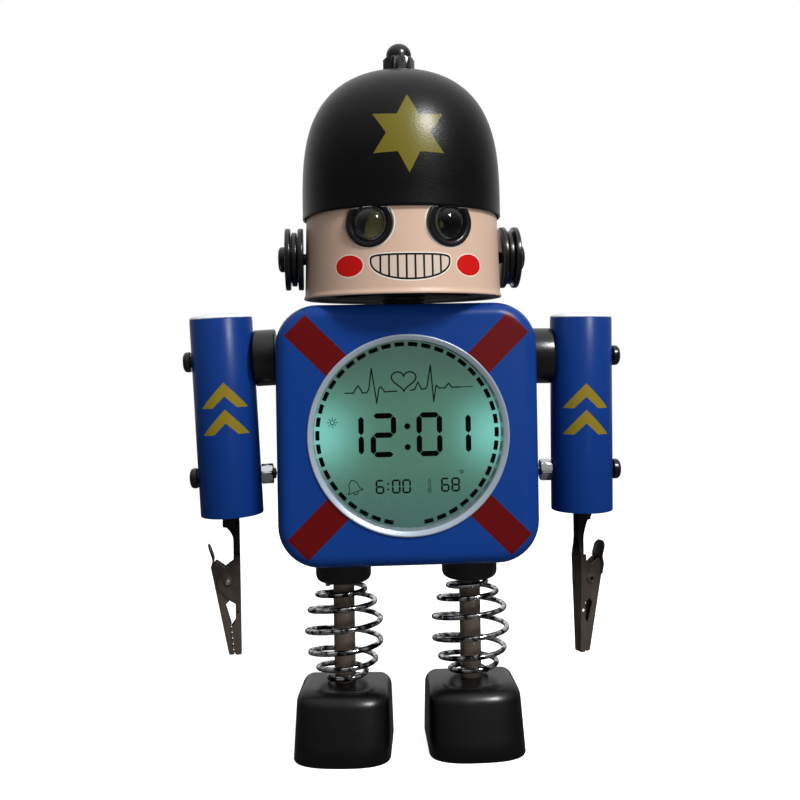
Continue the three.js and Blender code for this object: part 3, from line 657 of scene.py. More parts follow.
def painted_clip_reflections(finish):
    """Painted dark reflections in patches, more of them towards a clip's barrel."""
    height = finish.along(CLIP_MIDDLE, (0, 0, 1)) / 22
    patches = (finish.noise(5, 3) - 0.5) * 0.9
    return [("211f1e", (height + patches).math("ADD", 0.45, clamp=True))]


gloss_black = enamel("gloss_black", "0e0e10", 0.2, 0.32, 0.03, 0.15)
foot_black = enamel("foot_black", "060607", 0.24, 0.34, 0.02, 0.0, Specular_IOR_Level=0.4)
satin_black = plastic("satin_black", "19191b", 0.36, 0.5, Specular_IOR_Level=0.3)
white_enamel = enamel("white_enamel", "f0f5fa", 0.25, 0.35)
silver = enamel("silver", "abb8c5", 0.25, 0.38, 0.008, Metallic=0.35)
chrome = metal("chrome", "e8e9ec", 0.04, 0.12)
# The spring wire's only layer is painted dark reflections.
spring_wire = metal("spring_wire", "eceded", 0.06, 0.16, mottle=(0.05, 3), layers=painted_wire_reflections)
nickel_rod = metal("nickel_rod", "85776c", 0.16, 0.34, (3, 3, 0.3), 1.2, 0.01, metallic=0.65)
# The clips' layer is painted dark reflections, more of them towards the barrel.
dark_nickel = metal("dark_nickel", "7f7268", 0.16, 0.36, (1, 1, 0.35), 0.9, 0.008, (0.12, 4),
                    painted_clip_reflections, 0.75)
rear_black = plastic("rear_black", "1d1e20", 0.45, 0.62, 0.35, 0.04)
button_rubber = plastic("button_rubber", "2a2b2e", 0.5, 0.7, 0.3, 0.02)
board_green = plastic("board_green", "1d5a34", 0.35, 0.5)
cell_sleeve = plastic("cell_sleeve", "37633d", 0.25, 0.35)
glyph_ink = plastic("glyph_ink", "050d11", 0.45, 0.55, 0.4, 0.005, Specular_IOR_Level=0.1)
faint_ink = plastic("faint_ink", "3f6a62", 0.35, 0.45, 0.4, 0.005)
phosphor = plastic("phosphor", "b8b06a", 0.35, 0.5, 0.4, 0.01)
lens_clear = clear_plastic("lens_clear", "f6f8f6", 1.49)
window_clear = clear_plastic("window_clear", "fbfdfc", 1.12)
screen = screen_finish(BODY_MIDDLE, 31)
helmet_black = printed_tin("helmet_black", "050507", 0.3, lambda finish: [("655d1b", star(finish))],
                           (0.25, 0.34, 5), (0.9, 2), 0.035, (0.06, 9))
skin = printed_tin("skin", "c8aa96", 0.35, face_print, (0.32, 0.44, 6), (1.4, 2), 0.012, (0.03, 12))
body_blue = printed_tin("body_blue", "10377e", 0.2, lambda finish: [("590a0c", body_bars(finish))])


# ------------------------------------------------------------------ head
HELMET = {"wall": 0.8, "side_curve": 2.38, "top_curve": 3.36, "brim": 1.2}


def helmet_curve(inset):
    """The dome's outline, from the brim up to the hole for the rod."""
    low, high = corners("helmet")
    points = []
    for angle in quarter(44):
        r = (HEAD_R - 0.05 - inset) * cos(angle) ** (2 / HELMET["side_curve"])
        h = (high.z - low.z - inset) * sin(angle) ** (2 / HELMET["top_curve"])
        if r > ROD_HOLE and (angle == 0 or h >= HELMET["brim"]):
            points.append((r, low.z + h))
    return points + [(ROD_HOLE, low.z + (high.z - low.z) - inset)]


def make_helmet():
    rim = [(HEAD_R - inward, HELMET_LOW + rise) for inward, rise in (
        (0.85, 0.9), (0.8, 0.25), (0.45, 0), (0.12, 0.08), (0, 0.45), (0.06, 1.1))]
    shell = revolve(rim + helmet_curve(0)[1:] + helmet_curve(HELMET["wall"])[:0:-1], 128)
    piece("helmet_dome", shell, helmet_black, "head", "helmet", 40)


def hexagon(apothem, spin=0.0):
    """A limit on radius that makes a turned shape hexagonal."""
    third = pi / 3
    return lambda angle: apothem / cos((angle + spin + third / 2) % third - third / 2)


def hex_body(across_flats, low, high, bore, axis="z", spin=0.0):
    """A hexagonal nut with chamfered corners."""
    half = across_flats / 2
    corner = half / cos(pi / 6)
    drop = (corner - half) * 0.6
    profile = [(bore, low), (half * 0.98, low), (half + 0.15, low + 0.03), (corner, low + drop),
               (corner, high - drop), (half + 0.15, high - 0.03), (half * 0.98, high), (bore, high)]
    return revolve(profile, 72, axis, hexagon(half, spin))


def make_helmet_nut():
    low, high = corners("helmet_nut")
    shoulder = low.z + 5.2
    bend = shoulder + 1.2
    dome_r = 4.55
    hexed = hex_body(10.2, low.z, shoulder, 3.2, spin=radians(22))
    cap = revolve([(0, shoulder - 1.5), (dome_r, shoulder - 1.5), (dome_r, bend)]
                  + dome(dome_r, bend, high.z - bend, 12), 48)
    piece("acorn_nut", joined(hexed, cap), gloss_black, "root", "helmet_nut")


def eye_matrix(side):
    """Local space of an eye: z runs out of the head through the eye."""
    turn = turned(HEAD_TURN + side * EYE_TURN)
    return Matrix.Translation((0, 0, EYE_Z)) @ turn @ turned(90, "X")


def make_face():
    low, high = corners("face_band")
    lip = low.z + 1.3
    top_r = HEAD_R - 1.4
    outer = [(HEAD_R - inward, low.z + rise) for inward, rise in (
        (0.45, 0), (0.12, 0.15), (0, 0.5), (0.1, 0.9), (0.42, 1.3))]
    for t in [i / 10 for i in range(11)]:
        outer.append((HEAD_R - 0.5 + (top_r - HEAD_R + 0.5) * t,
                      lip + 1.0 + (high.z - lip - 1.0) * t))
    inner = [(top_r - 1, high.z), (HEAD_R - 1.5, lip), (HEAD_R - 1.1, low.z + 0.3)]
    band = revolve(outer + inner, 160)
    holes = [placed(rod(6.4, 25, 40, 48), eye_matrix(side)) for side in SIDES.values()]
    ear = moved(rod(BOLT_HOLE, -40, 40, 24, "x"), z=centre("ear_screw_left").z)
    holes.append(placed(ear, turned(HEAD_TURN)))
    piece("face", cut(band, *holes), skin, "head", "face_band", 40)


def make_base_plate():
    low, high = corners("head_base_plate")
    edge = girth("head_base_plate")
    step = low.z + 0.4
    profile = rounded([(ROD_HOLE, low.z), (24, low.z), (24.6, step), (edge - 2.5, step),
                       (edge - 2, low.z), (edge, low.z), (edge, high.z), (ROD_HOLE, high.z)], 0.2)
    piece("base_plate", revolve(profile, 96), satin_black, "head", "head_base_plate")


def above_brim(radius):
    """A cutter for all that lies outside a radius, from just under the helmet's brim up."""
    low = HELMET_LOW - 0.35
    return revolve([(radius, low), (60, low), (60, 200), (radius, 200)], 96)


def make_eye(name, side):
    """A bezel on a tube, with a lens in it and a lamp behind. The helmet's brim cuts its top."""
    space = eye_matrix(side)
    front = HEAD_R - 0.2
    seat = BAND_R + 0.15
    bore, tube, back = 5.75, 6.1, 25.6
    profile = rounded([(bore, back), (tube, back), (tube, seat), (BEZEL_R, seat - 2.5),
                       (BEZEL_R, front - 0.15, 0.5), (BEZEL_R - 0.7, front, 0.3),
                       (6.3, front - 0.2, 0.3), (bore, front - 1.3)], 0.15)
    ring = placed(revolve(profile, 96), space)
    inside = revolve([(0, 150), (HEAD_R - 0.35, 160), (BAND_R - 0.2, HELMET_LOW),
                      (BAND_R - 0.2, 195), (0, 195)], 160)
    collar = cut(ring, inside, above_brim(BAND_R - 0.6))
    lip = front - 0.9
    sleeve = revolve([(bore, back), (tube, back), (tube, lip), (bore, lip)], 64)
    sleeve = cut(placed(sleeve, space), above_brim(BAND_R - 0.25))
    piece(f"eye_holder_{name}", joined(collar, sleeve), gloss_black, "head", f"eye_bezel_{name}")
    lens_r, bend, top = 5.3, 33.8, 37.8
    lens = revolve([(0, 28), (lens_r, 28), (lens_r, 33.2), (lens_r - 0.05, bend)]
                   + dome(lens_r - 0.05, bend, top - bend, 16), 64)
    piece(f"eye_dome_{name}", placed(lens, space), lens_clear, "head", f"eye_lens_{name}")
    cup = revolve(rounded([(2.3, 27.0, 0), (4.9, 27.7), (5.2, 27.7), (5.2, 26.5), (0.6, 26.3, 0),
                           (0.6, 26.8, 0)], 0.15), 48)
    piece(f"eye_cup_{name}", placed(cup, space), satin_black, "head", f"eye_led_{name}")
    chip = revolve([(0, 27.0), (2.7, 27.0), (2.7, 27.3), (2.2, 27.75), (1.2, 27.9), (0, 27.92)], 40)
    piece(f"eye_chip_{name}", placed(chip, space), phosphor, "head")


def pan_head(radius, start, high, shank_r, shank_from):
    """A pan-headed screw along x, its head outwards, with a cross recess."""
    crown = start + high
    profile = [(0, shank_from), (shank_r, shank_from + 0.4), (shank_r, start),
               (radius - 0.2, start), (radius, start + 0.25), (radius, start + high * 0.45)]
    profile += [(radius * (0.5 + 0.5 * cos(a)), start + high * (0.45 + 0.5 * sin(a)))
                for a in quarter(8, 1)]
    profile += [(radius * 0.3, crown - high * 0.01), (0, crown)]
    floor, reach, half = crown - high * 0.5, radius * 0.52, radius * 0.1
    recess = [placed(block((floor, -half, -reach), (floor + 6, half, reach)), turned(angle, "X"))
              for angle in (0, 90)]
    return cut(revolve(profile, 48, "x"), *recess)


def make_ear(name, side):
    """A reel of three discs, and the screw that holds it."""
    start, thick, valley = 35.3, 1.9, 0.35
    end = start + 3 * thick + 2 * valley
    profile = [(BOLT_HOLE, start)]
    for k, radius in enumerate((11.0, 9.6, 11.0)):
        first = start + k * (thick + valley)
        last = first + thick
        profile += [(radius, first, 0.55), (radius, last, 0.55)]
        if k < 2:
            profile += [(8.2, last, 0.1), (8.2, last + valley, 0.1)]
    profile.append((BOLT_HOLE, end))
    turn = turned(HEAD_TURN + (180 if side < 0 else 0))
    space = Matrix.Translation((0, 0, centre(f"ear_disc_{name}").z)) @ turn
    reel = revolve(rounded(profile, 0.3, 5), 96, "x")
    piece(f"ear_reel_{name}", placed(reel, space), gloss_black, "head", f"ear_disc_{name}", 40)
    screw = pan_head(4.5, end + 0.1, 2.6, 2.0, 28)
    piece(f"ear_bolt_{name}", placed(screw, space), gloss_black, "head", f"ear_screw_{name}")


def make_neck():
    low, high = corners("neck_collar")
    profile = rounded([(ROD_HOLE, low.z), (8, low.z), (8, high.z), (ROD_HOLE, high.z)], 0.5)
    piece("neck_washer", revolve(profile, 64), satin_black, "root", "neck_collar")
    low, high = corners("neck_rod")
    stem = revolve(rounded([(0, low.z, 0), (3, low.z), (3, high.z), (0, high.z, 0)], 0.3), 48)
    piece("neck_stud", stem, chrome, "root", "neck_rod")


# ------------------------------------------------------------------ body
def rounded_square(half_x, half_z, radius, steps=10):
    """Points of a rounded rectangle round the origin, anticlockwise."""
    points = []
    for quarter in range(4):
        sign_x = 1 if quarter in (0, 3) else -1
        sign_z = 1 if quarter in (0, 1) else -1
        for i in range(steps + 1):
            angle = (quarter + i / steps) * pi / 2
            points.append((sign_x * (half_x - radius) + radius * cos(angle),
                           sign_z * (half_z - radius) + radius * sin(angle)))
    return points


def rounded_box(low, high, corner, sections):
    """A rounded square loft. sections holds (y, how far the sides have come in)."""
    middle = (low + high) / 2
    half = (high - low) / 2
    outlines = []
    for y, inward in sections:
        outline = rounded_square(half.x - inward, half.z - inward, max(corner - inward, 0.6), 12)
        outlines.append([(middle.x + x, y, middle.z + z) for x, z in outline])
    return loft(outlines)


SHELL = {"corner": 14.5, "edge": 5, "wall": 1.6, "dial": 33.0}


def make_front_shell():
    front, rear = BODY_LOW.y, BODY_HIGH.y
    edge, wall = SHELL["edge"], SHELL["wall"]
    roll = [(front + edge * (1 - cos(a)), edge * (1 - sin(a))) for a in quarter(8)]
    shell = rounded_box(BODY_LOW, BODY_HIGH, SHELL["corner"], roll + [(rear, 0)])
    walls = Vector((wall, 0, wall))
    inside = rounded_box(BODY_LOW + walls, BODY_HIGH - walls, SHELL["corner"] - wall,
                         [(front + wall, 2), (front + wall + 2, 0), (rear + 5, 0)])
    tools = [inside, moved(rod(SHELL["dial"], front - 5, front + 6, 128, "y"), z=BODY_Z)]
    for name, side in SIDES.items():
        shoulder, _ = joint_place(f"arm_{name}_swing")
        place = Matrix.Translation((side * (BODY_HIGH.x - 6), 0, shoulder.z))
        tools.append(placed(rod(BOLT_HOLE, 0, 12, 24, "x"), place @ turned(180 if side < 0 else 0)))
        leg = centre(f"leg_rod_{name}")
        tools.append(moved(rod(1.8, BODY_LOW.z - 3, BODY_LOW.z + 6, 24), x=leg.x, y=leg.y))
    piece("body_shell", cut(shell, *tools), body_blue, "root", "front_shell", 34)


def make_dial():
    low, high = corners("display_bezel")
    outer = size("display_bezel").x / 2
    seat = BODY_LOW.y - 0.02
    profile = [(outer, seat), (outer, BODY_LOW.y - 0.4, 0.25), (outer - 0.35, low.y, 0.3),
               (32.25, low.y + 0.85, 0.25), (32.1, high.y), (32.7, high.y), (32.7, seat)]
    ring = revolve(rounded(profile, 0.12), 160, "y")
    piece("dial_ring", moved(ring, z=BODY_Z), silver, "root", "display_bezel", 40)
    low, high = corners("display_window")
    radius = size("display_window").x / 2
    pane = revolve(rounded([(0, low.y, 0), (radius, low.y), (radius, high.y), (0, high.y, 0)], 0.2),
                   128, "y")
    piece("dial_window", moved(pane, z=BODY_Z), window_clear, "root", "display_window")
    piece("lcd", block(*corners("lcd_panel"), 0.35), screen, "root", "lcd_panel")


GLYPH_DROP = 0.6
GLYPH_DEEP = 0.12
SEGMENTS = {
    "0": "abcdef", "1": "bc", "2": "abged", "3": "abgcd", "4": "fgbc", "5": "afgcd",
    "6": "afgecd", "7": "abc", "8": "abcdefg", "9": "abcdfg",
}


def bar(start, end, thick):
    """A display segment: a bar with pointed ends, as an outline in the XZ plane."""
    along = (Vector(end) - Vector(start)).normalized()
    side = Vector((-along.y, along.x)) * thick / 2
    trim = along * (thick * 0.08)
    a, b = Vector(start) + trim, Vector(end) - trim
    nose = along * thick / 2
    return [a, a + nose + side, b - nose + side, b, b - nose - side, a + nose - side]


def digit(value, x, z, wide, high, thick):
    """The segments of a seven-segment digit centred on x, z."""
    w = (wide - thick) / 2
    h = (high - thick) / 2
    ends = {
        "a": ((-w, h), (w, h)), "b": ((w, h), (w, 0)), "c": ((w, 0), (w, -h)),
        "d": ((-w, -h), (w, -h)), "e": ((-w, 0), (-w, -h)), "f": ((-w, h), (-w, 0)),
        "g": ((-w, 0), (w, 0)),
    }
    return [[(x + p.x, z + p.y) for p in bar(*ends[letter], thick)] for letter in SEGMENTS[value]]


def disc(x, z, radius, sides=24):
    return [(x + radius * cos(TAU * i / sides), z + radius * sin(TAU * i / sides))
            for i in range(sides)]


def stroke(points, thick):
    """Short bars along a line, each overlapping the next by half its thickness."""
    outlines = []
    for first, last in zip(points, points[1:]):
        a = Vector(first)
        b = Vector(last)
        along = (b - a).normalized() * thick * 0.35
        side = Vector((-along.y, along.x)).normalized() * thick / 2
        corners_2d = (a - along + side, b + along + side, b + along - side, a - along - side)
        outlines.append([tuple(p) for p in corners_2d])
    return outlines


def arc(x, z, radius, first, last, steps=10):
    angles = [radians(first + (last - first) * i / steps) for i in range(steps + 1)]
    return [(x + radius * cos(a), z + radius * sin(a)) for a in angles]


PULSE = [
    (-21.3, 15), (-18.4, 15), (-17.6, 16.4), (-16.8, 17.5), (-16, 16.4), (-15.3, 15), (-13.9, 15),
    (-13.1, 16.1), (-12.1, 23.3), (-10.4, 11.3), (-9.6, 16.4), (-8.9, 17), (-7.6, 15.2), (-3.4, 15.4),
]
PULSE_REST = [
    (1.1, 15.6), (2.7, 15.8), (3.9, 18.4), (5.1, 15.9), (6.5, 16), (7.1, 17), (8.3, 24.2), (9.3, 11.6),
    (10.2, 17.2), (11.2, 16.2), (13.2, 16.2), (14.6, 17.8), (15.6, 16.4), (18.6, 16.4),
]
HEART = {"x": -1.0, "low": 15.3, "high": 23.2, "half": 4.3}


def heart_line(steps=28):
    """A plain heart drawn as one closed line."""
    points = []
    for i in range(steps + 1):
        t = TAU * i / steps
        x = sin(t) ** 3
        z = (13 * cos(t) - 5 * cos(2 * t) - 2 * cos(3 * t) - cos(4 * t)) / 17
        middle = (HEART["low"] + HEART["high"]) / 2
        points.append((HEART["x"] + HEART["half"] * x, middle + (HEART["high"] - middle) * z))
    return points


def bell(x, z, scale, lean):
    """A small bell drawn in thin lines."""
    shape = [(-0.5, -0.3), (-0.32, -0.1), (-0.3, 0.2), (-0.12, 0.42), (0, 0.5), (0.12, 0.42),
             (0.3, 0.2), (0.32, -0.1), (0.5, -0.3), (-0.5, -0.3)]
    clapper = [(-0.16, -0.3), (-0.1, -0.46), (0.1, -0.46), (0.16, -0.3)]
    turn = Matrix.Rotation(radians(lean), 2)
    result = []
    for line in (shape, clapper):
        points = [turn @ (Vector(p) * scale) + Vector((x, z)) for p in line]
        result += stroke(points, 0.26)
    return result


def dash_ring(radius, long, deep, count, missing):
    outlines = []
    for i in range(count):
        angle = 90 + 360 * (i + 0.5) / count
        if i in missing:
            continue
        half = degrees(long / radius) / 2
        outer = arc(0, 0, radius + deep / 2, angle - half, angle + half, 4)
        inner = arc(0, 0, radius - deep / 2, angle + half, angle - half, 4)
        outlines.append(rounded(outer + inner, 0.25, 2))
    return outlines


def plates(outlines, drop):
    """Thin plates on the front of the screen, one for each outline."""
    front = corners("lcd_panel")[0].y
    return joined(*[moved(slab(outline, front - GLYPH_DEEP, front - 0.01), z=BODY_Z - drop)
                    for outline in outlines])


def make_readout():
    time = []
    for value, x in (("1", -19.5), ("2", -8.3), ("0", 7.6), ("1", 17.6)):
        time += digit(value, x, 0.3, 8.9, 15.2, 1.85)
    time += [disc(0, 3.2, 1.05), disc(0, -4.0, 1.05)]
    small = []
    for value, x, z in (("6", -9.8, -17.5), ("0", -4.2, -17.5), ("0", -0.6, -17.5),
                        ("6", 12.8, -17.3), ("8", 16.4, -17.3)):
        small += digit(value, x, z, 3.0, 4.9, 0.62)
    small += [disc(-7.0, -16.5, 0.36, 12), disc(-7.0, -18.4, 0.36, 12)]
    lines = stroke(PULSE, 0.42) + stroke(PULSE_REST, 0.42) + stroke(heart_line(), 0.45)
    lines += bell(-18.7, -17.5, 5.4, 18)
    lines += stroke(arc(18.6, -12.9, 0.55, 0, 360), 0.24)
    lines += stroke(arc(-25.8, 5.0, 0.7, 0, 360), 0.26)
    for turn in range(0, 360, 45):
        lines += stroke([arc(-25.8, 5.0, radius, turn, turn, 1)[0] for radius in (1.1, 1.75)], 0.24)
    faint = stroke([(18.6, 16.4), (22.9, 16.5)], 0.3)
    for line in ([(7.1, -16.6), (7.1, -15.6), (7.4, -15.3), (7.7, -15.6), (7.7, -16.6)],
                 [(7.1, -16.6), (7.1, -18.6)], [(7.7, -16.6), (7.7, -18.6)],
                 arc(7.4, -19.2, 0.6, 60, 480)):
        faint += stroke(line, 0.22)
    dashes = dash_ring(31.0, 3.3, 1.45, 42, (20, 21))
    for name, outlines, ink, drop in (
            ("time", time, glyph_ink, GLYPH_DROP), ("small", small, glyph_ink, GLYPH_DROP),
            ("lines", lines, glyph_ink, GLYPH_DROP), ("faint", faint, faint_ink, GLYPH_DROP),
            ("dashes", dashes, glyph_ink, 0)):
        piece(f"glyph_{name}", plates(outlines, drop), ink, "root")


def hole_at(radius, x, z, low, high, sides=32):
    """A round tool along y."""
    return moved(rod(radius, low, high, sides, "y"), x=x, z=z)


def pocket(x0, x1, y0, y1, z0, z1, soft=0.0):
    return block((x0, y0, z0), (x1, y1, z1), soft)


REAR = {"corner_screw": (37.5, 36.5), "screw_r": 1.7, "stem_r": 1.8, "grille_r": 1.1, "ring": 5,
        "groove": (119.2, 119.8)}


def make_rear():
    """The cover with its battery tray, button holes, speaker grille and four screws."""
    low, high = corners("rear_cover")
    door_low, door_high = corners("battery_door")
    inner, outer = BODY_HIGH.y + 0.1, high.y
    past = outer + 1
    edge = 1.4
    roll = [(outer - edge * (1 - sin(a)), edge * (1 - cos(a))) for a in quarter(5)]
    panel = rounded_box(low, high, SHELL["corner"], [(inner, 0)] + roll)
    tray_x = door_high.x - 0.6
    tray_low, tray_high = door_low.z + 1.3, door_high.z - 1.4
    floor = inner - 11.8
    tray = pocket(-tray_x - 2.5, tray_x + 2.5, floor - 1, inner + 0.3, tray_low - 2.5,
                  tray_high + 2.5, 0.8)
    tools = [
        pocket(-tray_x, tray_x, floor, past, tray_low, tray_high, 0.6),
        pocket(door_low.x - 0.35, door_high.x + 0.35, inner, past, door_low.z - 0.4,
               door_high.z + 0.35),
        pocket(-6, 6, outer - 0.9, past, door_high.z - 0.2, door_high.z + 2.6, 0.5),
    ]

    def drill(radius, x, z):
        tools.append(hole_at(radius, x, z, inner - 2, past))

    def recess(radius, x, z, depth):
        tools.append(hole_at(radius, x, z, outer - depth, past, 48))

    for k in range(1, 5):
        button = centre(f"button_{k}")
        drill(REAR["stem_r"], button.x, button.z)
        recess(4.3, button.x, button.z, 0.5)
    speaker_z = centre("speaker").z
    for x, z in [(0, speaker_z)] + disc(0, speaker_z, REAR["ring"], 6):
        drill(REAR["grille_r"], x, z)
    screw_x, screw_z = REAR["corner_screw"]
    for sx, sz in ((-1, -1), (-1, 1), (1, -1), (1, 1)):
        x, z = sx * screw_x, BODY_Z + sz * screw_z
        drill(REAR["screw_r"], x, z)
        recess(3.3, x, z, 0.7)
        head = pan_head(2.9, outer - 0.7, 0.65, 1.5, outer - 5)
        spin = AXES["y"] @ AXES["x"].inverted() @ Matrix.Rotation(0.4 * (sx + 2 * sz), 4, "X")
        piece(f"cover_screw_{sx + 1}{sz + 1}", moved(placed(head, spin), x=x, z=z), chrome, "root")
    tools.append(pocket(-30, 30, outer - 0.35, past, *REAR["groove"]))
    piece("back_cover", cut(fused(panel, tray), *tools), rear_black, "root", "rear_cover", 34)


def make_door():
    """The battery door: a slab with finger ribs, a thumb notch and a rolled hinge edge."""
    low, high = corners("battery_door")
    roll = (high.y - low.y) / 2
    outline = [(low.y, low.z + roll)]
    for angle in [pi + i / 12 * pi for i in range(1, 12)]:
        outline.append((high.y - roll + roll * cos(angle), low.z + roll + roll * sin(angle)))
    outline += [(high.y, low.z + roll), (high.y, high.z - 0.3), (high.y - 0.3, high.z),
                (low.y, high.z)]
    door = loft([[(x, y, z) for y, z in outline] for x in (low.x, high.x)])
    grooves = [pocket(-9, 9, high.y - 0.45, high.y + 1, high.z - 4 - 1.6 * k,
                      high.z - 3.2 - 1.6 * k) for k in range(5)]
    thumb = pocket(-4.5, 4.5, high.y - 0.8, high.y + 1, high.z - 1.7, high.z + 1, 0.3)
    piece("back_door", cut(door, *grooves, thumb), rear_black, "door", "battery_door")


def make_buttons():
    for k in range(1, 5):
        low, high = corners(f"button_{k}")
        middle = centre(f"button_{k}")
        cap_from = high.y - 1.6
        profile = rounded([(0, low.y, 0), (1.5, low.y), (1.5, low.y + 0.5, 0.05),
                           (3, low.y + 0.5, 0.1), (3, low.y + 1.7, 0.1),
                           (1.5, low.y + 1.7, 0.05), (1.5, cap_from, 0.05),
                           (3.4, cap_from, 0.15), (3.5, high.y, 0.8), (2.3, high.y, 0.2),
                           (1.9, high.y - 0.25, 0.3), (0, high.y - 0.35, 0)], 0.1)
        cap = moved(revolve(profile, 48, "y"), x=middle.x, z=middle.z)
        piece(f"push_button_{k}", cap, button_rubber, f"button_{k}", f"button_{k}")


# ------------------------------------------------------------------ arms
ARM_NEAR = ARM_OUT - ARM_R - 0.3
ARM_FAR = ARM_OUT + ARM_R + 0.3
ARM_TOP = 13.6
ARM_LOW = -55.9
ARM_SLIP = {"left": 1.0, "right": 0.0}
HAND_LOW = -41.3
NUT_FLATS = 6.95


def make_arm(name):
    """The tube with its cap, the shoulder's spacer, bolt and nut, and the hand's bolt and nut."""
    space = arm_space(name)
    tube_space = space @ Matrix.Translation((ARM_OUT, 0, ARM_SLIP[name]))
    hand_space = space @ Matrix.Translation((0, 0, HAND_LOW))
    bore = ARM_R - 1.0
    tube = revolve([(bore, ARM_LOW + 0.35), (bore, ARM_TOP - 0.2), (bore + 0.3, ARM_TOP),
                    (ARM_R - 0.2, ARM_TOP), (ARM_R, ARM_TOP - 0.25), (ARM_R, ARM_LOW + 0.5),
                    (ARM_R - 0.1, ARM_LOW + 0.15), (ARM_R - 0.45, ARM_LOW), (bore - 0.15, ARM_LOW)],
                   128)
    holes = [moved(rod(radius, -20, 20, 32, "x"), z=z - ARM_SLIP[name])
             for z, radius in ((0, BOLT_HOLE), (HAND_LOW, 2.1))]
    tin = printed_tin(f"arm_blue_{name}", "0f3275", 0.14,
                      lambda finish: [("7a6a1e", chevrons(finish, name))])
    piece(f"arm_{name}_tin", placed(cut(tube, *holes), tube_space), tin, f"arm_{name}",
          f"arm_tube_{name}", 40)
    rim = ARM_TOP + 0.05
    edge = ARM_R - 0.2
    crown = revolve([(0, ARM_TOP - 3), (9.5, ARM_TOP - 3), (9.5, rim), (edge, rim),
                     (ARM_R, rim + 0.15), (ARM_R, rim + 0.45), (edge, rim + 0.65)]
                    + dome(edge, rim + 0.65, 1.4, 8), 96)
    piece(f"arm_{name}_crown", placed(crown, tube_space), white_enamel, f"arm_{name}",
          f"arm_cap_{name}")
    spacer = rounded([(BOLT_HOLE, 0.75), (10, 0.75), (10, ARM_NEAR), (BOLT_HOLE, ARM_NEAR)], 0.45)
    piece(f"shoulder_{name}_spacer", placed(revolve(spacer, 96, "x"), space), gloss_black, "root",
          f"shoulder_spacer_{name}")
    shoulder = pan_head(3.6, ARM_FAR, 2.8, 2.0, -7.4)
    piece(f"shoulder_{name}_bolt", placed(shoulder, space), gloss_black, "root",
          f"shoulder_bolt_{name}")
    hand = pan_head(3.6, ARM_FAR, 2.8, 1.9, ARM_NEAR - 5.3)
    piece(f"hand_{name}_bolt", placed(hand, hand_space), gloss_black, f"arm_{name}",
          f"hand_bolt_{name}")
    nut = hex_body(NUT_FLATS, ARM_NEAR - 4, ARM_NEAR, 2.0, "x", radians(20))
    piece(f"hand_{name}_nut", placed(nut, hand_space), chrome, f"arm_{name}", f"hand_nut_{name}")
    half = size(f"shoulder_nut_{name}").x / 2
    nut = moved(hex_body(NUT_FLATS, -half, half, 2.1, "x"), *centre(f"shoulder_nut_{name}"))
    piece(f"shoulder_{name}_nut", nut, chrome, "root", f"shoulder_nut_{name}")


# ------------------------------------------------------------------ clips
CLIP = {"back": 4.2, "tip": 26.5, "sheet": 0.5, "jaw": 3.0, "lever": 2.2}
CLIP_JAW = [
    (-4.2, -26.5), (-4.2, 9), (-1.9, 9), (-1.9, 6.6), (0.9, 4.6), (3.2, 3), (4, 0, 1.6), (3.2, -2.6),
    (2.1, -3.9), (0.3, -6.2), (-0.66, -7.2), (-2.4, -8.2), (-2.3, -14.5, 0.6),
]
CLIP_LEVER = [
    (1.25, -8.7), (-0.4, -7), (-1.9, -3.5, 1.4), (-2.5, 0, 1.6), (-1.8, 2.5, 1), (0.95, 4.7, 1),
    (4.1, 7),
]
CLIP_TEETH = {"count": 5, "top": (-0.66, -16), "bottom": (-1.6, -26.2), "bite": 0.35, "gap": 0.15}


def tooth_line(offset):
    count = 2 * CLIP_TEETH["count"]
    top = Vector(CLIP_TEETH["top"])
    run = Vector(CLIP_TEETH["bottom"]) - top
    points = []
    for i in range(count + 1):
        bite = CLIP_TEETH["bite"] * (1 if i % 2 else -1)
        spot = top + run * i / count
        points.append((spot.x + bite + offset, spot.y, 0.08))
    return points


def deburred(bm, width=0.12):
    return soften(bm, width, 2, 50)


def cheeks(outline, half, holes):
    """Two sheet-metal sides of a clip half, drilled alike."""
    sheet = CLIP["sheet"]
    return [deburred(cut(slab(outline, y0, y1), *[hole_at(r, x, z, -6, 6) for x, z, r in holes]))
            for y0, y1 in ((half - sheet, half), (-half, sheet - half))]


def tapered(parts):
    """Joins the parts of a clip half and draws them in towards its tip."""
    bm = joined(*parts)
    for vert in bm.verts:
        below = min(max(-vert.co.z / CLIP["tip"], 0), 1)
        vert.co.y *= 1 - 0.42 * below
    return bm


def clip_back(x, low, high):
    """The jaw's back: a strip that narrows to the stem at its top."""
    outer, inner = x, x + CLIP["sheet"]
    return deburred(loft([
        [(outer, -half, z), (outer, half, z), (inner, half, z), (inner, -half, z)]
        for z, half in ((low, 2.88), (0, 2.88), (8.5, 2.88), (10.5, 2.6), (12.5, 2.0), (high, 1.6))
    ]), 0.14)


def rolled_barrel(x, neck, bolt_z, name):
    """A tube rolled from sheet, with its seam open a little, drilled for the hand bolt."""
    seam, start, steps = radians(14), radians(70), 44
    ring = []
    for radius, order in ((3.0, range(steps + 1)), (2.35, range(steps, -1, -1))):
        for i in order:
            angle = start + seam / 2 + (TAU - seam) * i / steps
            ring.append((x + radius * cos(angle), radius * sin(angle)))
    tube = loft([[(px, py, z) for px, py in ring] for z in (neck, bolt_z + 4)])
    clip_x, arm_x = (Vector(space.to_3x3().col[0][:2])
                     for space in (clip_space(name), arm_space(name)))
    turn = Matrix.Rotation(-clip_x.angle_signed(arm_x), 4, "Z")
    bolt = placed(rod(2, -6, 6, 32, "x"), Matrix.Translation((x, 0, bolt_z)) @ turn)
    return deburred(cut(tube, bolt))


def dense(line, step=0.25):
    """A 2-D line with points every step or closer."""
    points = [line[0]]
    for first, last in zip(line, line[1:]):
        a, b = Vector(first), Vector(last)
        parts = max(1, ceil((b - a).length / step))
        points += [tuple(a.lerp(b, k / parts)) for k in range(1, parts + 1)]
    return points


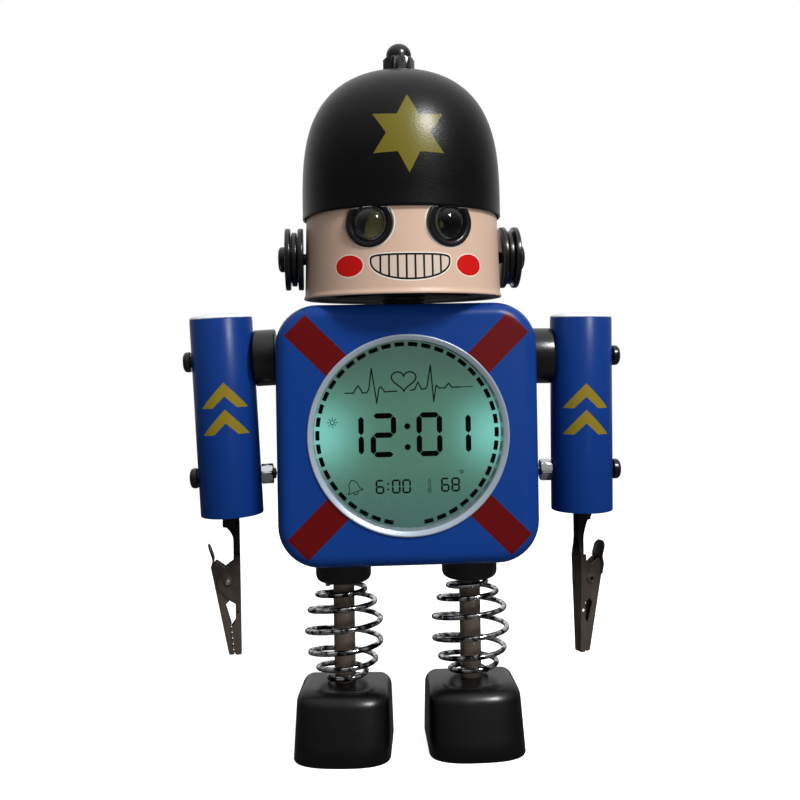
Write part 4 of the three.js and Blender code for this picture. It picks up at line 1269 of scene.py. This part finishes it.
def thumb_tab(line, thick):
    """The lever's thumb plate: a joggled strip whose end is wider and rounded."""
    rings = []
    for here, (a, b) in zip(line, strip_sides(line, thick)):
        past = 2.6 - (Vector(line[-1]) - Vector(here)).length
        half = 3.0 * (sqrt(max(1 - (past / 2.75) ** 2, 0.05)) if past >= 0 else 1)
        rings.append([(a.x, -half, a.y), (a.x, half, a.y), (b.x, half, b.y), (b.x, -half, b.y)])
    return deburred(loft(rings), 0.14)


def make_clip(name):
    space = clip_space(name)
    back, tip = CLIP["back"], CLIP["tip"]
    bolt_z = joint_place(f"clip_{name}_swing")[0].z - joint_place(f"clip_{name}_open")[0].z
    neck = bolt_z - 18
    outline = rounded(CLIP_JAW + tooth_line(-CLIP_TEETH["gap"]) + [(-2.1, -tip)], 0.4, 3)
    stem = rounded([(-back, 8), (-1.9, 8), (-1.9, 15.5, 1.5), (-0.2, neck - 0.6, 1.2),
                    (1.8, neck + 1), (1.8, neck + 2), (-back, neck + 2)], 0.5)
    jaw = cheeks(outline, CLIP["jaw"], [(0, 0, 1.25), (-3.1, -11.2, 0.55)])
    jaw += [clip_back(-back, -tip + 0.1, 15), slab(stem, -1.6, 1.6, 0.45),
            rolled_barrel(-1.2, neck, bolt_z, name)]
    piece(f"clip_{name}_jaw_sheet", placed(tapered(jaw), space), dark_nickel, f"clip_{name}",
          f"clip_jaw_{name}", 38)
    outline = [(6.1, 5.2), (0.2, -tip), (-1.3, -tip)] + tooth_line(CLIP_TEETH["gap"])[::-1]
    lever = cheeks(rounded(outline + CLIP_LEVER, 0.4, 3), CLIP["lever"], [(0, 0, 1.25)])
    left, right = zip(*strip_sides([(-0.05, -tip + 0.1), (5.85, 5.2)], CLIP["sheet"]))
    half = CLIP["lever"] - 0.12
    thumb = rounded([(4.9, 1.2), (5.75, 5.0), (4.95, 7.4), (6.75, 12.9)], 1.2, 5, closed=False)
    lever += [slab(left + right[::-1], -half, half, 0.14), thumb_tab(dense(thumb), 0.6)]
    piece(f"clip_{name}_lever_sheet", placed(tapered(lever), space), dark_nickel, f"lever_{name}",
          f"clip_lever_{name}", 38)
    half = CLIP["jaw"] + 0.05
    flange = [(0.75, -half - 0.4), (1.1, -half - 0.55), (1.5, -half - 0.45), (1.7, -half - 0.15),
              (1.7, -half), (1.2, -half)]
    eyelet = revolve(flange + [(r, -y) for r, y in reversed(flange)], 40, "y")
    piece(f"clip_{name}_eyelet", placed(eyelet, space), dark_nickel, f"clip_{name}",
          f"clip_rivet_{name}")
    coil = []
    turns, coil_r = 3.5, 1.85
    for t in [i / 112 for i in range(113)]:
        angle = TAU * turns * t
        coil.append((coil_r * cos(angle), (t - 0.5) * turns * 0.62, coil_r * sin(angle)))
    piece(f"clip_{name}_coil", placed(wire(coil, 0.25, 10), space), chrome, f"clip_{name}",
          f"clip_spring_{name}")


# ------------------------------------------------------------------ legs and feet
ROD_SHOULDER = 59.7
SPRING = {"wire": 0.968, "end_r": 5.7, "bulge": 7.5, "turns": 6.0, "bow": 1.2, "bunch": 0.42,
          "lean": 0.1, "gap": 0.3}
SPRING_START = {"left": 180, "right": 10}
FOOT = {"half": 16.75, "back": 12.0, "corner": 14.0, "front": 24.0, "high": 22.0}
TOE_BOW = 2.6
TOE_LEAN = 7
FOOT_TURN = {"left": -5, "right": 0}


def make_leg(name):
    low, high = corners(f"leg_rod_{name}")
    middle = centre(f"leg_rod_{name}")
    shaft = rounded([(0, low.z, 0), (3.8, low.z), (3.8, ROD_SHOULDER), (1.5, ROD_SHOULDER, 0.1),
                     (1.5, high.z - 2.4, 0.1), (3.5, high.z - 2.4), (3.5, high.z),
                     (0, high.z, 0)], 0.4)
    piece(f"leg_{name}_shaft", moved(revolve(shaft, 64), x=middle.x, y=middle.y), nickel_rod,
          f"leg_{name}", f"leg_rod_{name}")
    low, high = corners(f"leg_socket_{name}")
    socket = rounded([(4.15, high.z), (4.15, low.z), (9.9, low.z, 2.9), (9.9, high.z, 0.35)],
                     0.3, 7)
    piece(f"leg_{name}_socket", moved(revolve(socket, 80), x=middle.x, y=middle.y), satin_black,
          "root", f"leg_socket_{name}", 40)
    make_leg_spring(name, middle, low.z)


def make_leg_spring(name, middle, top):
    """A barrel spring whose coils lean."""
    wire_r = SPRING["wire"]
    low = FOOT["high"] + SPRING["gap"] + wire_r
    high = top - SPRING["gap"] - wire_r
    steps = round(SPRING["turns"] * 40)
    points = []
    for t in [i / steps for i in range(steps + 1)]:
        r = SPRING["end_r"] + SPRING["bulge"] * (1 - (2 * t - 1) ** 2) ** SPRING["bow"]
        z = low + (high - low) * (t - SPRING["bunch"] * sin(TAU * t) / TAU)
        angle = radians(SPRING_START[name]) + TAU * SPRING["turns"] * t
        lean = SPRING["lean"] * (1 - (2 * t - 1) ** 4)
        points.append((middle.x + r * cos(angle), middle.y + r * sin(angle),
                       z - lean * r * sin(angle)))
    spring = piece(f"leg_{name}_coil", wire(points, wire_r, 16), spring_wire, "root",
                   f"leg_spring_{name}", 60)
    travel = JOINTS[f"leg_{name}_slide"]["range_m"][1] / MM
    keep = 1 - travel / (top - FOOT["high"])
    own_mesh(spring)


def foot_outline(z, inset):
    """A foot seen from above: straight back, round corners and a bowed toe."""
    side = FOOT["half"] - inset
    back = FOOT["back"] - inset
    lean = TOE_LEAN * z / FOOT["high"]
    corner = -(FOOT["corner"] - inset - lean)
    front = -(FOOT["front"] - inset - lean)
    round_r = max(5 - inset, 1)
    points = [(side - round_r + round_r * cos(a), back - round_r + round_r * sin(a))
              for a in quarter(8)]
    points += [(-x, y) for x, y in reversed(points)]
    for angle in [i / 40 * pi for i in range(41)]:
        across = -copysign(abs(cos(angle)) ** (2 / TOE_BOW), cos(angle))
        points.append((side * across, corner + (front - corner) * sin(angle) ** (2 / TOE_BOW)))
    return [(x, y, z) for x, y in points]


def make_foot(name):
    fillet = 4.4
    levels = [(0, 0.7), (0.15, 0.25), (0.6, 0.02), (6, 0.15), (12, 0.32), (17.5, 0.49)]
    levels += [(17.6 + fillet * sin(a), 0.5 + fillet * (1 - cos(a))) for a in quarter(12, 1)]
    levels += [(FOOT["high"], 5.3), (FOOT["high"], 6.5)]
    drilled = cut(loft([foot_outline(z, inset) for z, inset in levels]), rod(3.95, 10, 30, 48))
    place, _ = joint_place(f"foot_{name}_turn")
    drilled = placed(drilled, Matrix.Translation((place.x, place.y, 0)) @ turned(FOOT_TURN[name]))
    piece(f"foot_{name}_block", drilled, foot_black, f"foot_{name}", f"foot_{name}", 50)


# ------------------------------------------------------------------ the whole robot
for make in (make_helmet, make_helmet_nut, make_face, make_base_plate, make_neck, make_front_shell,
             make_dial, make_readout, make_rear, make_door, make_buttons):
    make()
for which, sign in SIDES.items():
    make_eye(which, sign)
    make_ear(which, sign)
    make_arm(which)
    make_clip(which)
    make_leg(which)
    make_foot(which)
for node, look in (("circuit_board", board_green), ("speaker", satin_black),
                   ("battery_1", cell_sleeve), ("battery_2", cell_sleeve)):
    cad_materials = frame["nodes"][node].data.materials
    cad_materials.clear()
    cad_materials.append(look.material)


# ------------------------------------------------------------------ studio
ROOM_LIGHT = 0.08
SKY_LIGHT = 0.85
REAR_LIGHT = 0.6
BACKDROP = 1.0
FLOOR_GLOW = 0.8
FLOOR_FADE = (230, 800)
# Each lamp: name, place and aim in metres, side of its square in metres, watts, and whether it
# is seen in reflections and through the clear parts.
LAMPS = (
    ("key", (0.365, -0.585, 0.74), (0, 0, 0.17), 0.19, 7.4, True),
    ("low_fill", (0.35, -1.1, 0.12), (0, 0, 0.16), 0.4, 6.2, False),
)
CAMERA = {"place": (-19.1, -341.5, 139.0), "turn": -3.2, "tilt": -1.0, "lens": 42.75,
          "shift": (-0.0047, -0.06)}


def make_floor():
    """A pale disc that glows into the backdrop, and that reflections see as grey."""
    floor = raw_object(slab(disc(0, 0, 2600, 96), -1, 0), "floor")
    floor.data.transform(turned(90, "X"))
    pale = Finish("pale_floor", "f4f4f3", Roughness=0.7, Specular_IOR_Level=0.0,
                  Emission_Color=(1, 1, 1, 1))
    x, y = pale.along((0, 0, 0), (1, 0, 0)), pale.along((0, 0, 0), (0, 1, 0))
    near, end = FLOOR_FADE
    far = (((x ** 2 + y ** 2).math("SQRT") - near) / (end - near)).math("ADD", 0, clamp=True)
    direct = Field(pale.tree, pale.node("LightPath").outputs["Is Camera Ray"])
    pale.paint([("3c3c3c", ~direct), ("000000", far)], 0.01, 60)
    glow = far * (BACKDROP - FLOOR_GLOW) + FLOOR_GLOW
    pale.link((glow * (direct * 0.95 + 0.05)).socket, "Emission Strength")
    floor.data.materials.append(pale.material)


def make_world():
    """A white backdrop for the camera, and soft light from above and behind for the rest."""
    world = bpy.data.worlds.new("studio")
    bpy.context.scene.world = world
    world.use_nodes = True
    tree = world.node_tree
    background = tree.nodes["Background"]
    background.inputs["Color"].default_value = (1, 1, 1, 1)
    heading = tree.nodes.new("ShaderNodeTexCoord")
    parts = tree.nodes.new("ShaderNodeSeparateXYZ")
    tree.links.new(heading.outputs["Generated"], parts.inputs[0])
    overhead = Field(tree, parts.outputs["Z"]).math("MAXIMUM", 0) ** 2 * SKY_LIGHT
    behind = Field(tree, parts.outputs["Y"]).math("MAXIMUM", 0) ** 2 * REAR_LIGHT
    direct = Field(tree, tree.nodes.new("ShaderNodeLightPath").outputs["Is Camera Ray"])
    level = direct * BACKDROP + ~direct * (overhead + behind + ROOM_LIGHT)
    tree.links.new(level.socket, background.inputs["Strength"])


def hang_lamps():
    for label, place, aim, side, power, shines in LAMPS:
        light = bpy.data.lights.new(label, "AREA")
        light.size = side
        light.energy = power
        lamp = bpy.data.objects.new(label, light)
        lamp.location = place
        lamp.visible_glossy = lamp.visible_transmission = shines
        lamp.rotation_euler = (Vector(aim) - Vector(place)).to_track_quat("-Z", "Y").to_euler()
        bpy.context.scene.collection.objects.link(lamp)


def set_camera():
    optics = bpy.data.cameras.new("camera")
    optics.lens = CAMERA["lens"]
    optics.sensor_width = 36
    optics.shift_x, optics.shift_y = CAMERA["shift"]
    optics.clip_start = 0.01
    camera = bpy.data.objects.new("camera", optics)
    aim = turned(CAMERA["turn"]) @ turned(90, "X") @ turned(CAMERA["tilt"])
    camera.matrix_world = Matrix.Translation(Vector(CAMERA["place"]) * MM) @ aim
    bpy.context.scene.collection.objects.link(camera)
    bpy.context.scene.camera = camera


make_floor()
make_world()
bpy.context.scene.view_settings.view_transform = "Standard"
hang_lamps()
set_camera()
